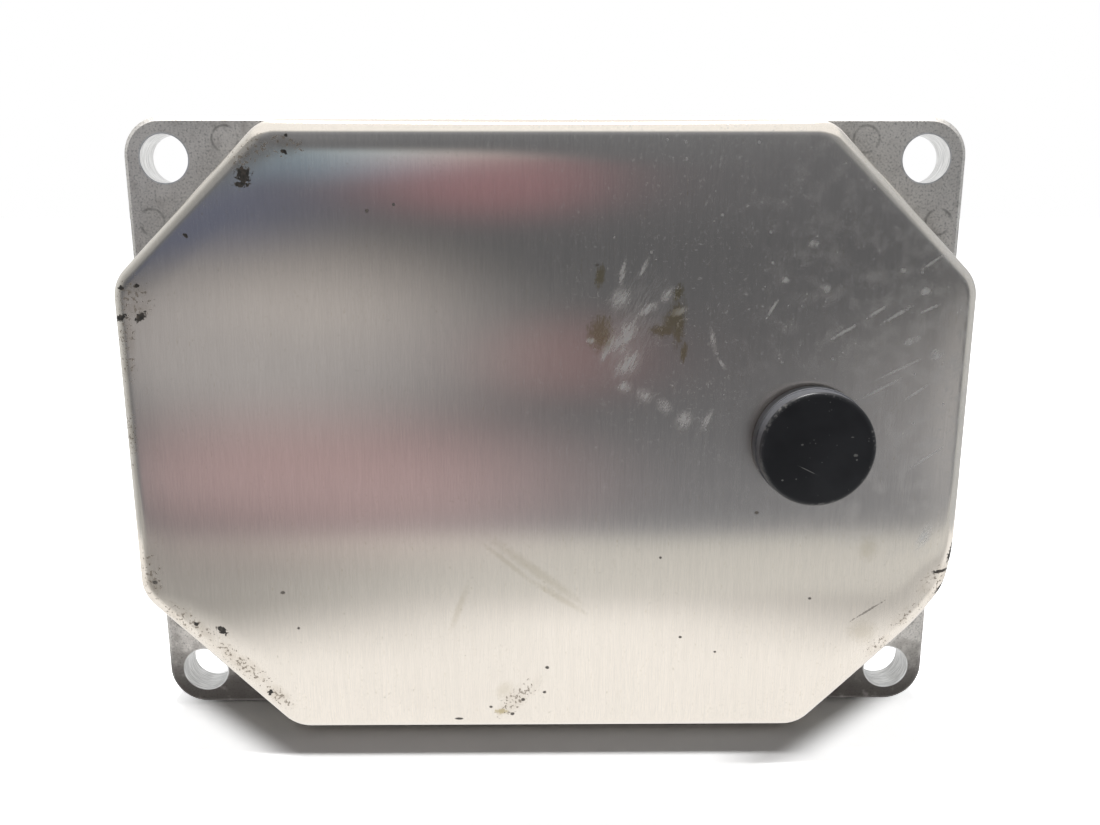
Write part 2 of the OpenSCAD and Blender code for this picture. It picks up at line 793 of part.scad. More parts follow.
// A flat pin with a bevelled tip and a narrow solder tail
module pin(pos, w) {
    translate([pos.x, 0, pos.y - pin_t / 2])
        linear_extrude(pin_t)
            polygon([
                [-tail_w / 2, tail_y], [tail_w / 2, tail_y],
                [tail_w / 2, carrier_front_y], [w / 2, carrier_front_y],
                [w / 2, pin_tip_y - pin_bevel], [w / 2 - pin_bevel, pin_tip_y],
                [pin_bevel - w / 2, pin_tip_y], [-w / 2, pin_tip_y - pin_bevel],
                [-w / 2, carrier_front_y], [-tail_w / 2, carrier_front_y]
            ]);
}

module header_pins(pos) {
    for (place = signal_places(pos, blade_side(pos)))
        pin(place, pin_w);
    for (place = blade_places(pos, blade_side(pos)))
        pin(place, blade_w);
}

module engine_header_pins() {
    color(tin)
        header_pins(engine_pos);
}

module vehicle_header_pins() {
    color(tin)
        header_pins(vehicle_pos);
}

// A flat seal between a socket's flange and the tray's floor
module header_seal(pos) {
    difference() {
        round_block(pos, flange_size, header_r, flange_back_y, floor_y);
        round_block(pos, window_size, window_r, flange_back_y - eps, floor_y + eps);
        for (sx = [-1, 1], sz = [-1, 1])
            rod(pos + [sx * flange_screw_x, sz * flange_screw_z], screw_d + 2 * screw_clear,
                flange_back_y - eps, floor_y + eps);
    }
}

module engine_header_seal() {
    color(seal_grey)
        header_seal(engine_pos);
}

module vehicle_header_seal() {
    color(seal_grey)
        header_seal(vehicle_pos);
}

// Parts on the front of the board: X and Y along the board, Z away from it
module on_front(pos) {
    translate([pos.x, board_front_y, pos.y])
        rotate([90, 0, 0])
            children();
}

// Parts on the back of the board, with their legs upwards
module on_back(pos) {
    translate([pos.x, board_back_y, pos.y])
        rotate([-90, 0, 0])
            children();
}

// A box that stands on the board
module chip(size) {
    translate([-size.x / 2, -size.y / 2, 0])
        cube(size);
}

// A moulded chip with bent leads along both sides
module leaded_chip(size, leads, width) {
    mid = size.z / 2;
    step = leads > 1 ? (size.y - 2 * width) / (leads - 1) : 0;
    half = size.x / 2;
    translate([0, 0, chip_lift])
        chip([size.x, size.y, size.z - chip_lift]);
    for (side = [0, 180], i = [0:leads - 1])
        rotate([0, 0, side])
            translate([half, (i - (leads - 1) / 2) * step, 0])
                rotate([90, 0, 0])
                    linear_extrude(width, center = true)
                        polygon([
                            [-lead_t, mid], [lead_out, mid], [lead_out, lead_t], [lead_span, lead_t],
                            [lead_span, 0], [lead_out - lead_t, 0], [lead_out - lead_t, mid - lead_t],
                            [-lead_t, mid - lead_t]
                        ]);
}

// A power transistor: moulding, heat tab and two flat legs
module power_package(size) {
    body_len = size.y - tab_len - leg_len;
    translate([0, (leg_len - tab_len) / 2, 0])
        chip([size.x, body_len, size.z]);
    translate([0, (size.y - tab_len - tab_root) / 2, 0])
        chip([size.x - 2 * leg_w, tab_len + tab_root, tab_t]);
    for (sx = [-1, 1])
        translate([sx * size.x / 4, -(size.y - leg_len) / 2 + leg_t / 2, 0])
            chip([leg_w, leg_len + leg_t, leg_t]);
}

module microcontroller() {
    base_t = mcu_size.z / 3;
    color(chip_black)
        on_front(mcu_pos) {
            chip([mcu_size.x, mcu_size.y, base_t]);
            chip(mcu_size - [2 * mcu_edge, 2 * mcu_edge, 0]);
        }
}

module flash_memory() {
    color(chip_black)
        on_front(flash_pos)
            leaded_chip(flash_size, 12, lead_w);
}

module supply_regulator() {
    color(chip_black)
        on_front(regulator_pos)
            leaded_chip(regulator_size, 8, lead_w);
}

module injector_driver() {
    color(chip_black)
        on_front(driver_pos)
            leaded_chip(driver_size, 10, lead_w);
}

module can_transceiver() {
    color(chip_black)
        on_front(bus_pos)
            leaded_chip(bus_size, 4, lead_w);
}

module suppressor_diode() {
    color(chip_black)
        on_front(diode_pos)
            leaded_chip(diode_size, 1, diode_size.y / 2);
}

module choke_coil() {
    ring_d = min(choke_size.x, choke_size.y) - part_gap;
    groove = choke_size.z / 6;
    color(seal_grey)
        on_front(choke_pos)
            difference() {
                chip(choke_size);
                translate([0, 0, choke_size.z - groove])
                    difference() {
                        cylinder(d = ring_d, h = groove + eps);
                        translate([0, 0, -eps])
                            cylinder(d = ring_d - 2 * choke_ring_w, h = groove + 3 * eps);
                    }
            }
}

module quartz_crystal() {
    base = [crystal_size.x, crystal_size.y, crystal_size.z / 6];
    can = crystal_size - [2 * lead_t, 2 * lead_t, 0];
    color(tin)
        on_front(crystal_pos) {
            chip(base);
            chip([can.x - can.y, can.y, can.z]);
            for (sx = [-1, 1])
                translate([sx * (can.x - can.y) / 2, 0, 0])
                    cylinder(d = can.y, h = can.z);
        }
}

module pressure_sensor() {
    color(chip_black)
        on_front(sensor_pos)
            difference() {
                union() {
                    chip(sensor_size);
                    cylinder(d = sensor_port_d, h = sensor_size.z + sensor_port_h);
                }
                translate([0, 0, sensor_size.z / 2])
                    cylinder(d = sensor_port_d / 2, h = sensor_size.z + sensor_port_h);
            }
}

module electrolytic_capacitors() {
    color(tin)
        for (pos = can_places)
            on_front(pos) {
                chip([can_base, can_base, can_base_t]);
                cylinder(d = can_d, h = can_h);
            }
}

module ceramic_capacitors() {
    color(ceramic_tan)
        for (pos = ceramic_places)
            on_front(pos)
                chip(ceramic_size);
}

module chip_resistors() {
    color(chip_black)
        for (pos = resistor_places)
            on_front(pos)
                chip(resistor_size);
}

module power_transistors() {
    color(chip_black)
        for (pos = fet_places)
            on_back(pos)
                power_package(fet_size);
}

module ignition_drivers() {
    color(chip_black)
        for (pos = igniter_places)
            on_back(pos)
                power_package(igniter_size);
}

// A soft pad on each transistor's moulding
module pads_on(places, size) {
    pad = [size.x - part_gap, size.y - tab_len - leg_len - part_gap, pad_t];
    for (pos = places)
        on_back(pos)
            translate([0, (leg_len - tab_len) / 2, size.z])
                chip(pad);
}

module thermal_pads() {
    color(pad_blue) {
        pads_on(fet_places, fet_size);
        pads_on(igniter_places, igniter_size);
    }
}

housing();
cover();
cover_seal();
vent_cap();
vent_body();
vent_membrane();
vent_seal_ring();
circuit_board();
board_screws();
engine_header();
vehicle_header();
engine_pin_carrier();
vehicle_pin_carrier();
engine_header_pins();
vehicle_header_pins();
engine_header_seal();
vehicle_header_seal();
header_screws();
microcontroller();
flash_memory();
supply_regulator();
injector_driver();
can_transceiver();
suppressor_diode();
choke_coil();
quartz_crystal();
pressure_sensor();
electrolytic_capacitors();
ceramic_capacitors();
chip_resistors();
power_transistors();
ignition_drivers();
thermal_pads();
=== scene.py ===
"""The looks of an engine control unit: a cast housing closed by a pressed cover of brushed sheet.

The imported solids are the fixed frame. The cover, its breather cap, the housing and the two sockets get
finer surfaces that keep the form of their solids, and every other solid gets its finish.
"""

import json
import math

import bmesh
import bpy
import numpy as np
from bpy.props import FloatProperty, FloatVectorProperty, PointerProperty
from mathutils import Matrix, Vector


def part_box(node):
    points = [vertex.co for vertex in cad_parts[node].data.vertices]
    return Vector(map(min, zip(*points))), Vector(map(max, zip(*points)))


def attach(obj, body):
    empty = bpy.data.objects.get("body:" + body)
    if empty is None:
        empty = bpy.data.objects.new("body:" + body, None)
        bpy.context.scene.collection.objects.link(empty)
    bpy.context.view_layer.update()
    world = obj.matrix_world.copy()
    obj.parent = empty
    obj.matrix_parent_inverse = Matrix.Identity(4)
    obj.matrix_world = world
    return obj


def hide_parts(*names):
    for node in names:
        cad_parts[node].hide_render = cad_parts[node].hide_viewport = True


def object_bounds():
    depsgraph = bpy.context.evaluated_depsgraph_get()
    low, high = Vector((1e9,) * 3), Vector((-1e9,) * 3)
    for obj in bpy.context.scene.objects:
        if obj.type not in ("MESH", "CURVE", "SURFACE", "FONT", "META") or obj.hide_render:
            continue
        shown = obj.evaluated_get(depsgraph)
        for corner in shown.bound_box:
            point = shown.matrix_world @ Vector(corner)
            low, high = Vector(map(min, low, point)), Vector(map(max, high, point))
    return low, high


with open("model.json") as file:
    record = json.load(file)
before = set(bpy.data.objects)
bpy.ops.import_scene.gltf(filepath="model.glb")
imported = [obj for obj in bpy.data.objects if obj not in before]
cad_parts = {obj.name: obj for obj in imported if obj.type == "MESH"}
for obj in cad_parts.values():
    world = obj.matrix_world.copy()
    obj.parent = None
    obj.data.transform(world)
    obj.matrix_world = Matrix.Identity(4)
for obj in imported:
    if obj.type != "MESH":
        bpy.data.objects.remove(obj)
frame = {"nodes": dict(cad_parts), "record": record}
CAD_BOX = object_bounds()

bl_info = {
    "name": "Engine control unit",
    "version": (1, 0, 0),
    "blender": (4, 5, 0),
    "location": "View3D > Sidebar > Control unit",
    "description": "Dresses the solids of an engine control unit and lights them for a photograph",
    "category": "Object",
}

MM = 0.001
BODY = "root"
# Keeps what is seen from the front of a place
FRONT = (1, 0, 1)

COVER_LOW, COVER_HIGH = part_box("cover")
CAP_LOW, CAP_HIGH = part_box("vent_cap")
FLOOR_Z = CAD_BOX[0].z
LUGS = next(mount["dims"] for mount in frame["record"]["mounts"] if mount["name"] == "lug_holes")
CAP_MIDDLE = (CAP_LOW + CAP_HIGH) / 2
HOLE_PLACE = (LUGS["spacing_x_mm"] / 2, 0, LUGS["spacing_y_mm"] / 2)
HOLE_RADIUS = LUGS["hole_r_mm"]


# Sizes and colours

def length(name, description, millimetres):
    """A size property, given in millimetres and kept in metres."""
    return FloatProperty(name=name, description=description, default=millimetres * MM,
                         unit="LENGTH", precision=5)


def colour(name, description, red, green, blue):
    """A colour property with linear red, green and blue."""
    return FloatVectorProperty(name=name, description=description, default=(red, green, blue),
                               subtype="COLOR", size=3, min=0.0, max=1.0)


class CoverSizes(bpy.types.PropertyGroup):
    """Sizes of the pressed cover."""

    sheet: length("Sheet", "Thickness of the cover's sheet", 1.2)
    bend: length("Bend", "Outer radius of the bend between face and skirt", 2.8)
    corner: length("Corner", "Radius of the octagon's eight corners", 7.0)
    cut: length("Cut", "Leg of the triangle cut off each corner of the face", 26.8)
    lip: length("Lip", "Chamfer on the cut end of the sheet", 0.15)
    hole: length("Hole", "Radius of the hole under the breather", 5.0)
    wave: length("Wave", "Height of the shallow waves that pressing leaves in the face", 0.035)
    crown: length("Crown", "How far the face falls off towards the bend", 0.16)
    dent: length("Dent", "Depth of the knock in the lower right corner", 1.1)
    dent_reach: length("Dent reach", "How far the knock spreads from the corner", 8.5)


class BreatherSizes(bpy.types.PropertyGroup):
    """Sizes of the breather's cap, measured from the cap's own rim."""

    flange: length("Flange", "Height of the wider foot of the cap", 2.4)
    step: length("Step", "How far the upper wall stands in from the foot", 0.2)
    chamfer: length("Chamfer", "Leg of the chamfer round the cap's face", 0.35)
    top: length("Top", "Thickness of the cap's face", 1.5)
    skirt: length("Skirt", "Depth of the wide bore at the open end", 1.4)
    seat: length("Seat", "Radius of the wide bore", 8.65)
    bore: length("Bore", "Radius of the bore that grips the breather's body", 7.8)
    easing: length("Easing", "Rounding of the moulded edges", 0.28)


class CastingSizes(bpy.types.PropertyGroup):
    """Rounding of the cast and moulded edges."""

    casting: length("Casting edge", "Rounding of the housing's edges", 0.3)
    moulding: length("Moulding edge", "Rounding of the sockets' edges", 0.2)


class FinishColours(bpy.types.PropertyGroup):
    """Colours of the finishes."""

    casting: colour("Casting", "Die cast aluminium", 0.77, 0.74, 0.70)
    sheet: colour("Sheet", "Brushed aluminium sheet", 0.92, 0.855, 0.77)
    cap: colour("Cap", "Breather cap", 0.012, 0.012, 0.014)
    moulding: colour("Moulding", "Black plastic of the sockets", 0.020, 0.020, 0.022)
    carrier: colour("Carrier", "Black plastic of the pin carriers", 0.030, 0.030, 0.033)
    rubber: colour("Rubber", "Seals", 0.055, 0.058, 0.062)
    membrane: colour("Membrane", "Breather membrane", 0.80, 0.79, 0.75)
    mask: colour("Mask", "Solder mask of the board", 0.012, 0.105, 0.045)
    steel: colour("Steel", "Plated screws", 0.46, 0.46, 0.47)
    pin: colour("Pin", "Tinned pins and leads", 0.62, 0.60, 0.55)
    chip: colour("Chip", "Moulding compound of the chips", 0.024, 0.024, 0.026)
    can: colour("Can", "Drawn cans", 0.60, 0.60, 0.59)
    ceramic: colour("Ceramic", "Ceramic capacitors", 0.38, 0.24, 0.12)
    ferrite: colour("Ferrite", "Pressed powder of the choke", 0.05, 0.05, 0.055)
    silicone: colour("Silicone", "Thermal pads", 0.22, 0.35, 0.44)


class StageSizes(bpy.types.PropertyGroup):
    """Camera, floor, card and lamp."""

    camera: FloatVectorProperty(name="Camera", description="Place of the lens", size=3, unit="LENGTH",
                                default=(-0.92 * MM, -182.36 * MM, 44.46 * MM))
    tilt: FloatProperty(name="Tilt", description="How far the camera looks down",
                        default=math.radians(12.81), subtype="ANGLE")
    swing: FloatProperty(name="Swing", description="How far the camera looks to the left",
                         default=math.radians(-0.49), subtype="ANGLE")
    lens: FloatProperty(name="Lens", description="Focal length in millimetres", default=32.56)
    floor: length("Floor", "Reach of the floor", 3000)
    card_gap: length("Card gap", "Distance of the grey card from the cover's face", 65)
    card_top: length("Card top", "Height of the card's upper edge above the origin", 98)
    card_wide: length("Card width", "Half width of the card", 190)
    card_wing: length("Card wing", "How far back the card's wings reach", 150)
    wing_top: length("Wing top", "Height of the wings' far corners above the origin", 190)
    fill: FloatProperty(name="Fill", description="Light that comes from all round", default=0.13)
    top_power: FloatProperty(name="Top lamp", description="Power of the strip overhead",
                             default=6.9, unit="POWER")


# Shading

class Field:
    """A socket whose value varies over a surface; an expression on it adds Math nodes."""

    def __init__(self, nodes, socket):
        self.nodes = nodes
        self.socket = socket

    def math(self, operation, *values):
        """This field and the values, put through one Math node."""
        return self.nodes.math(operation, self, *values)

    def smooth(self, low, high):
        """0 where this field is at low and 1 where it is at high, with an eased step between."""
        return self.nodes.node("ShaderNodeMapRange", {"interpolation_type": "SMOOTHSTEP"},
                               {"Value": self, "From Min": low, "From Max": high})

    def __add__(self, other):
        return self.nodes.math("ADD", self, other)

    def __radd__(self, other):
        return self.nodes.math("ADD", other, self)

    def __sub__(self, other):
        return self.nodes.math("SUBTRACT", self, other)

    def __rsub__(self, other):
        return self.nodes.math("SUBTRACT", other, self)

    def __mul__(self, other):
        return self.nodes.math("MULTIPLY", self, other)

    def __rmul__(self, other):
        return self.nodes.math("MULTIPLY", other, self)


class Nodes:
    """A node tree and the few ways in which this file adds to it."""

    def __init__(self, tree):
        self.tree = tree
        here = self.node("ShaderNodeTexCoord", output="Object")
        self.place = self.node("ShaderNodeVectorMath", {"operation": "SCALE"}, {0: here, "Scale": 1 / MM})

    def plug(self, socket, value):
        """Links a field to a socket, or sets the socket's own value."""
        if isinstance(value, Field):
            self.tree.links.new(value.socket, socket)
        else:
            socket.default_value = value

    def node(self, kind, settings=None, sockets=None, output=0):
        """Adds a node: its settings first, then a value or a link for each of its sockets."""
        made = self.tree.nodes.new(kind)
        for name, value in (settings or {}).items():
            if name == "stops":
                set_stops(made.color_ramp, value)
            else:
                setattr(made, name, value)
        for key, value in (sockets or {}).items():
            self.plug(made.inputs[key], value)
        return Field(self, made.outputs[output])

    def math(self, operation, *values):
        """One Math node on the values."""
        return self.node("ShaderNodeMath", {"operation": operation}, dict(enumerate(values)))

    def vector(self, operation, *values, output=0):
        """One Vector Math node on the values."""
        return self.node("ShaderNodeVectorMath", {"operation": operation}, dict(enumerate(values)), output)

    def axis(self, name):
        """One coordinate of the surface's place, in millimetres."""
        return self.node("ShaderNodeSeparateXYZ", {}, {0: self.place}, name)

    def mix(self, factor, first, second, blend="MIX"):
        """The first colour, which the second covers, or is blended with, as factor goes from 0 to 1."""
        return self.node("ShaderNodeMix", {"data_type": "RGBA", "blend_type": blend},
                         {0: factor, 6: rgba(first), 7: rgba(second)}, 2)

    def layers(self, tone, *coats):
        """A colour under further coats, each given as its share and its own colour."""
        for share, coat in coats:
            tone = self.mix(share, tone, coat)
        return tone

    def noise(self, cycles, detail=2.0, stretch=None, turn=0):
        """Cloudy noise from 0 to 1 with that many cycles a millimetre, turned and drawn out by stretch."""
        place = self.place
        if turn:
            place = self.node("ShaderNodeVectorRotate", {"rotation_type": "Y_AXIS"},
                              {"Vector": place, "Angle": math.radians(turn)})
        if stretch:
            place = self.vector("MULTIPLY", place, stretch)
        return self.node("ShaderNodeTexNoise", {}, {"Vector": place, "Scale": cycles, "Detail": detail})

    def cells(self, cycles, output="Distance"):
        """Distance to the nearest of many scattered points, or that point's own random colour."""
        return self.node("ShaderNodeTexVoronoi", {}, {"Vector": self.place, "Scale": cycles}, output)

    def blob(self, x, z, half_length, half_width, turn=0):
        """1 at the middle of a turned ellipse seen from the front, falling evenly to 0 at its edge."""
        local = self.node("ShaderNodeMapping", {"vector_type": "TEXTURE"}, {
            "Vector": self.place,
            "Location": (x, 0, z),
            "Rotation": (0, -math.radians(turn), 0),
            "Scale": (half_length, 1000, half_width),
        })
        return self.node("ShaderNodeTexGradient", {"gradient_type": "SPHERICAL"}, {"Vector": local}, 1)

    def largest(self, field, *others):
        """The largest of several fields at each place."""
        for other in others:
            field = field.math("MAXIMUM", other)
        return field

    def blobs(self, rows):
        """The largest of several blobs at each place."""
        return self.largest(*(self.blob(*row) for row in rows))


class Finish(Nodes):
    """A material under construction."""

    def __init__(self, name, sockets=None):
        self.material = bpy.data.materials.new(name)
        self.material.use_nodes = True
        super().__init__(self.material.node_tree)
        self.shader = self.tree.nodes["Principled BSDF"]
        self.set(sockets or {})

    def set(self, sockets):
        """Values or links for the shader's own sockets."""
        for name, value in sockets.items():
            self.plug(self.shader.inputs[name], rgba(value))

    def bump(self, height, depth, strength=1.0):
        """Lets the height, from 0 to 1, stand up to depth millimetres out of the surface."""
        sockets = {"Strength": strength, "Distance": depth * MM, "Height": height}
        self.set({"Normal": self.node("ShaderNodeBump", {}, sockets)})

    def done(self, tone, roughness, relief, others=None):
        """The material with its colour, its roughness, its relief as bump takes it, and other sockets."""
        self.set({"Base Color": tone, "Roughness": roughness, **(others or {})})
        self.bump(*relief)
        return self.material

    def glow(self, tone):
        """A surface that gives light of that colour instead of taking it."""
        return self.node("ShaderNodeEmission", {}, {"Color": tone})

    def surface(self, shader):
        """What the material shows in the end, where that isn't its first shader alone."""
        self.plug(self.tree.nodes["Material Output"].inputs["Surface"], shader)


def rgba(value):
    """A colour property or a triple with an opaque alpha; anything else as it is."""
    if isinstance(value, (int, float, Field)) or len(value) == 4:
        return value
    return (*value, 1.0)


def shade(value, factor):
    """A colour made lighter or darker by a factor."""
    return tuple(min(1.0, channel * factor) for channel in value)


def set_stops(ramp, stops):
    """Gives a colour ramp its stops, each a position and a colour."""
    while len(ramp.elements) < len(stops):
        ramp.elements.new(1.0)
    for element, (position, value) in zip(ramp.elements, stops):
        element.position = position
        element.color = rgba(value)


# Meshes

def solid_mesh(name, points, faces):
    """A smooth mesh of the points, with its faces turned outwards by the sign of the volume they close."""
    corners = points[faces[:, :3]]
    volume = np.einsum("ij,ij->i", corners[:, 0], np.cross(corners[:, 1], corners[:, 2])).sum()
    if volume < 0:
        faces = faces[:, ::-1]
    mesh = bpy.data.meshes.new(name)
    mesh.from_pydata(points, [], [dict.fromkeys(face) for face in faces.tolist()])
    mesh.shade_smooth()
    return mesh


def closed_grid(rings, columns):
    """Faces of a grid that closes on itself both ways, each between two rings and two columns."""
    index = np.arange(rings * columns).reshape(rings, columns)
    across = np.roll(index, -1, axis=0)
    corners = (index, np.roll(index, -1, axis=1), np.roll(across, -1, axis=1), across)
    return np.stack(corners, axis=-1).reshape(-1, 4)


def add_object(name, data):
    """Puts a mesh, a lamp or a camera into the scene."""
    made = bpy.data.objects.new(name, data)
    bpy.context.scene.collection.objects.link(made)
    return made


def add_piece(name, mesh, slot, material, *nodes):
    """Puts a mesh on the body in place of the nodes that it stands for."""
    piece = add_object(name, mesh)
    mesh.materials.clear()
    mesh.materials.append(material)
    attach(piece, BODY)
    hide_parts(*nodes)
    return piece


def dress(material, *nodes):
    """Gives a finish to solids that keep their own mesh."""
    for node in nodes:
        mesh = frame["nodes"][node].data
        mesh.materials.clear()
        mesh.materials.append(material)


WELD = 1e-6
FLAT_ANGLE = math.radians(0.5)
EDGE_ANGLE = math.radians(28)
EDGE_SEGMENTS = 2


def merged_copy(node, name):
    """A copy of a solid's mesh with its triangles merged into flat faces."""
    mesh = bpy.data.meshes.new(name)
    work = bmesh.new()
    work.from_mesh(frame["nodes"][node].data)
    bmesh.ops.remove_doubles(work, verts=work.verts, dist=WELD)
    bmesh.ops.dissolve_limit(work, angle_limit=FLAT_ANGLE, verts=work.verts, edges=work.edges)
    work.to_mesh(mesh)
    work.free()
    for layer in ("custom_normal", "sharp_edge", "sharp_face"):
        if layer in mesh.attributes:
            mesh.attributes.remove(mesh.attributes[layer])
    mesh.shade_smooth()
    return mesh


def round_edges(piece, rounding):
    """Rounds the sharp edges of a piece with a bevel."""
    bevel = piece.modifiers.new("rounded_edges", "BEVEL")
    bevel.width = rounding
    bevel.segments = EDGE_SEGMENTS
    bevel.limit_method = "ANGLE"
    bevel.angle_limit = EDGE_ANGLE
    bevel.harden_normals = True


# Cover

CORNERS = 8
ARC_STEPS = 8
SIDE_STEPS = 40
FACE_RINGS = 60
BACK_RINGS = 12
BEND_STEPS = 10
SKIRT_STEPS = 5
EDGE_FADE = 6 * MM
KNOCK_WAY = np.array([-0.7, 0.55, 0.7])


def octagon(half_width, half_height, cut, radius):
    """Centres and outward directions of the points round an octagon with rounded corners.

    A point of the outline is its centre plus the radius along its direction. The direction turns by an
    eighth of a turn at each corner of the octagon that lies one radius inside, and then keeps still
    while the centre runs along the next side.
    """
    wide = half_width - radius
    high = half_height - radius
    trim = cut - radius * (2 - math.sqrt(2))
    quarter = np.array([(wide, trim - high), (wide, high - trim), (wide - trim, high), (trim - wide, high)])
    corners = np.concatenate((quarter, -quarter))
    step = np.arange(ARC_STEPS + SIDE_STEPS)
    turned = np.minimum(step / ARC_STEPS, 1)
    moved = np.maximum(step - ARC_STEPS, 0) / SIDE_STEPS
    angle = (np.arange(CORNERS)[:, None] - 1 + turned) * (2 * math.pi / CORNERS)
    side = np.roll(corners, -1, axis=0) - corners
    centres = corners[:, None] + moved[None, :, None] * side[:, None]
    directions = np.stack((np.cos(angle), np.sin(angle)), axis=-1)
    return centres.reshape(-1, 2), directions.reshape(-1, 2)


def sheet_profile(sizes, rise):
    """Rows of offset, height and share for a walk over the sheet's section.

    The walk goes up the outside of the skirt, round the bend, over the face to the hole, back under the
    face and down the inside of the skirt. Offset is measured outwards from the outline, height from the
    skirt's end, and share is 0 on the outline and 1 on the rim of the hole. The face's rings lie closer
    together towards the bend.
    """
    turn = np.linspace(0, math.pi / 2, BEND_STEPS + 1)
    start = rise - sizes.bend
    inner_bend = sizes.bend - sizes.sheet
    skirt = np.linspace(sizes.lip, start, SKIRT_STEPS)
    face = np.linspace(0, 1, FACE_RINGS + 1)[1:]
    face = face * (0.3 + 0.7 * face)
    back = np.linspace(1, 0, BACK_RINGS + 1)
    stretches = [
        (0 * skirt, skirt, 0 * skirt),
        (sizes.bend * (np.cos(turn[1:]) - 1), start + sizes.bend * np.sin(turn[1:]), 0 * turn[1:]),
        (0 * face - sizes.bend, 0 * face + rise, face),
        (0 * back - sizes.bend, 0 * back + rise - sizes.sheet, back),
        (inner_bend * np.sin(turn[1:]) - sizes.bend, start + inner_bend * np.cos(turn[1:]), 0 * turn[1:]),
        (0 * skirt[1:] - sizes.sheet, skirt[-2::-1], 0 * skirt[1:]),
        (np.array([sizes.lip - sizes.sheet, -sizes.lip]), np.zeros(2), np.zeros(2)),
    ]
    return [np.concatenate(column) for column in zip(*stretches)]


def cover_surface(sizes):
    """The whole skin of the cover as one closed grid.

    Each column of the grid follows the section at one point of the outline. On the face it runs straight
    from the outline to the rim of the hole. Shallow waves, a sum of slow sines across the face, a fall
    towards the bend that grows with the square of its nearness, and a knock that fades as a smooth bell
    from one corner, are added to both skins alike.
    """
    half_width = (COVER_HIGH.x - COVER_LOW.x) / 2
    half_height = (COVER_HIGH.z - COVER_LOW.z) / 2
    centres, directions = octagon(half_width, half_height, sizes.cut, sizes.corner)
    offset, height, share = sheet_profile(sizes, COVER_HIGH.y - COVER_LOW.y)
    offset = offset[:, None, None]
    outline = centres + (sizes.corner + offset) * directions
    vent = np.array([CAP_MIDDLE.x, CAP_MIDDLE.z])
    spoke = outline - vent
    rim = vent + sizes.hole * spoke / np.linalg.norm(spoke, axis=-1, keepdims=True)
    flat = outline + share[:, None, None] * (rim - outline)
    depth = np.broadcast_to((COVER_HIGH.y - height)[:, None], flat.shape[:2])
    points = np.stack((flat[..., 0], depth, flat[..., 1]), axis=-1)
    run = np.linalg.norm(flat - outline, axis=-1)
    inward = np.clip(run / EDGE_FADE, 0, 1)
    eased = inward * inward * (3 - 2 * inward)
    across = points[..., 0] / (half_width / 2)
    up = points[..., 2] / (half_height / 2)
    waves = np.sin(2.1 * across + 0.7) * np.cos(1.7 * up + 0.4) + 0.6 * np.sin(3.3 * across - 2.6 * up)
    points[..., 1] += sizes.wave * eased * waves
    points[..., 1] += sizes.crown * (1 - inward) ** 2 * (height / height.max())[:, None]
    corner = np.array([half_width, COVER_LOW.y, sizes.cut - half_height])
    near = np.linalg.norm(points - corner, axis=-1) / sizes.dent_reach
    bell = np.exp(-2 * near ** 2)[..., None]
    points += sizes.dent * bell * KNOCK_WAY
    return points


# Marks on the cover, each with its middle, half length, half width and turn, in millimetres and degrees
TAR = [
    (-50.2, 46.3, 2.0, 2.2), (-50.6, 44.8, 2.2, 0.9), (-43.2, 50.0, 1.0, 0.6, -40), (-42.8, 52.6, 0.6, 0.4),
    (-60.5, 36.4, 0.7, 0.5, -50), (-69.2, 22.8, 2.0, 1.0, 35), (-72.8, 22.6, 2.2, 0.9, 20),
    (-69.4, 28.0, 0.8, 0.6), (-72.2, 27.6, 1.0, 0.7), (-59.6, -34.8, 2.0, 1.1, -30),
    (-64.2, -33.6, 0.8, 0.7), (-51.5, -47.4, 1.2, 0.9, 60), (73.6, -20.5, 3.4, 1.0, 75),
    (71.8, -24.0, 3.0, 0.6, 5), (72.6, -27.4, 2.6, 0.9, 40),
]
GRIT = [
    (-50.0, 49.0, 3.4, 3.0), (-47.0, 50.8, 5.4, 2.6, 20), (-43.0, 51.0, 4.2, 2.6), (-70.0, 26.0, 4.2, 4.6),
    (-72.4, 18.0, 2.4, 9.0), (-73.0, 2.0, 1.6, 10.0), (-71.6, -24.0, 2.6, 6.0),
    (-65.5, -33.5, 9.0, 2.4, -42), (-56.5, -41.5, 9.0, 2.4, -42), (-50.0, -48.0, 4.5, 2.2, -42),
    (-5.5, -48.5, 7.0, 2.4, 45), (71.4, -26.0, 6.0, 3.6, 50), (66.0, -32.5, 5.0, 1.8, 40),
    (61.0, -38.5, 3.6, 1.8, 40),
]
SPECKS = [
    (-30.0, 40.5, 0.5, 0.5), (-25.5, 41.5, 0.4, 0.4), (8.5, 31.5, 0.5, 0.4), (48.0, -29.0, 0.5, 0.4),
    (20.5, -21.0, 0.4, 0.4), (24.5, -36.5, 0.5, 0.4), (31.0, -39.5, 0.4, 0.3), (0.0, -42.5, 0.6, 0.5),
    (-4.5, -49.0, 0.6, 0.5), (-10.5, -50.5, 0.5, 0.4), (-6.5, -52.0, 0.6, 0.5), (-16.5, -53.0, 1.2, 0.4),
    (-0.5, -47.5, 0.5, 0.4), (-48.0, -27.5, 0.7, 0.5), (37.5, -12.5, 0.6, 0.5), (-71.0, -25.5, 0.8, 0.6),
    (-45.5, -34.5, 0.4, 0.4),
]
GLUE = [
    (9.0, 29.5, 2.8, 1.2, 80), (9.2, 19.8, 3.2, 4.4), (21.6, 22.4, 4.8, 2.2, 62),
    (22.6, 21.6, 5.8, 1.6, 88), (20.2, 20.4, 3.8, 1.5, 5), (22.4, 26.8, 2.4, 1.1, 75),
    (23.6, 16.6, 2.6, 0.9, 85), (-8.5, -51.5, 1.8, 0.9),
]
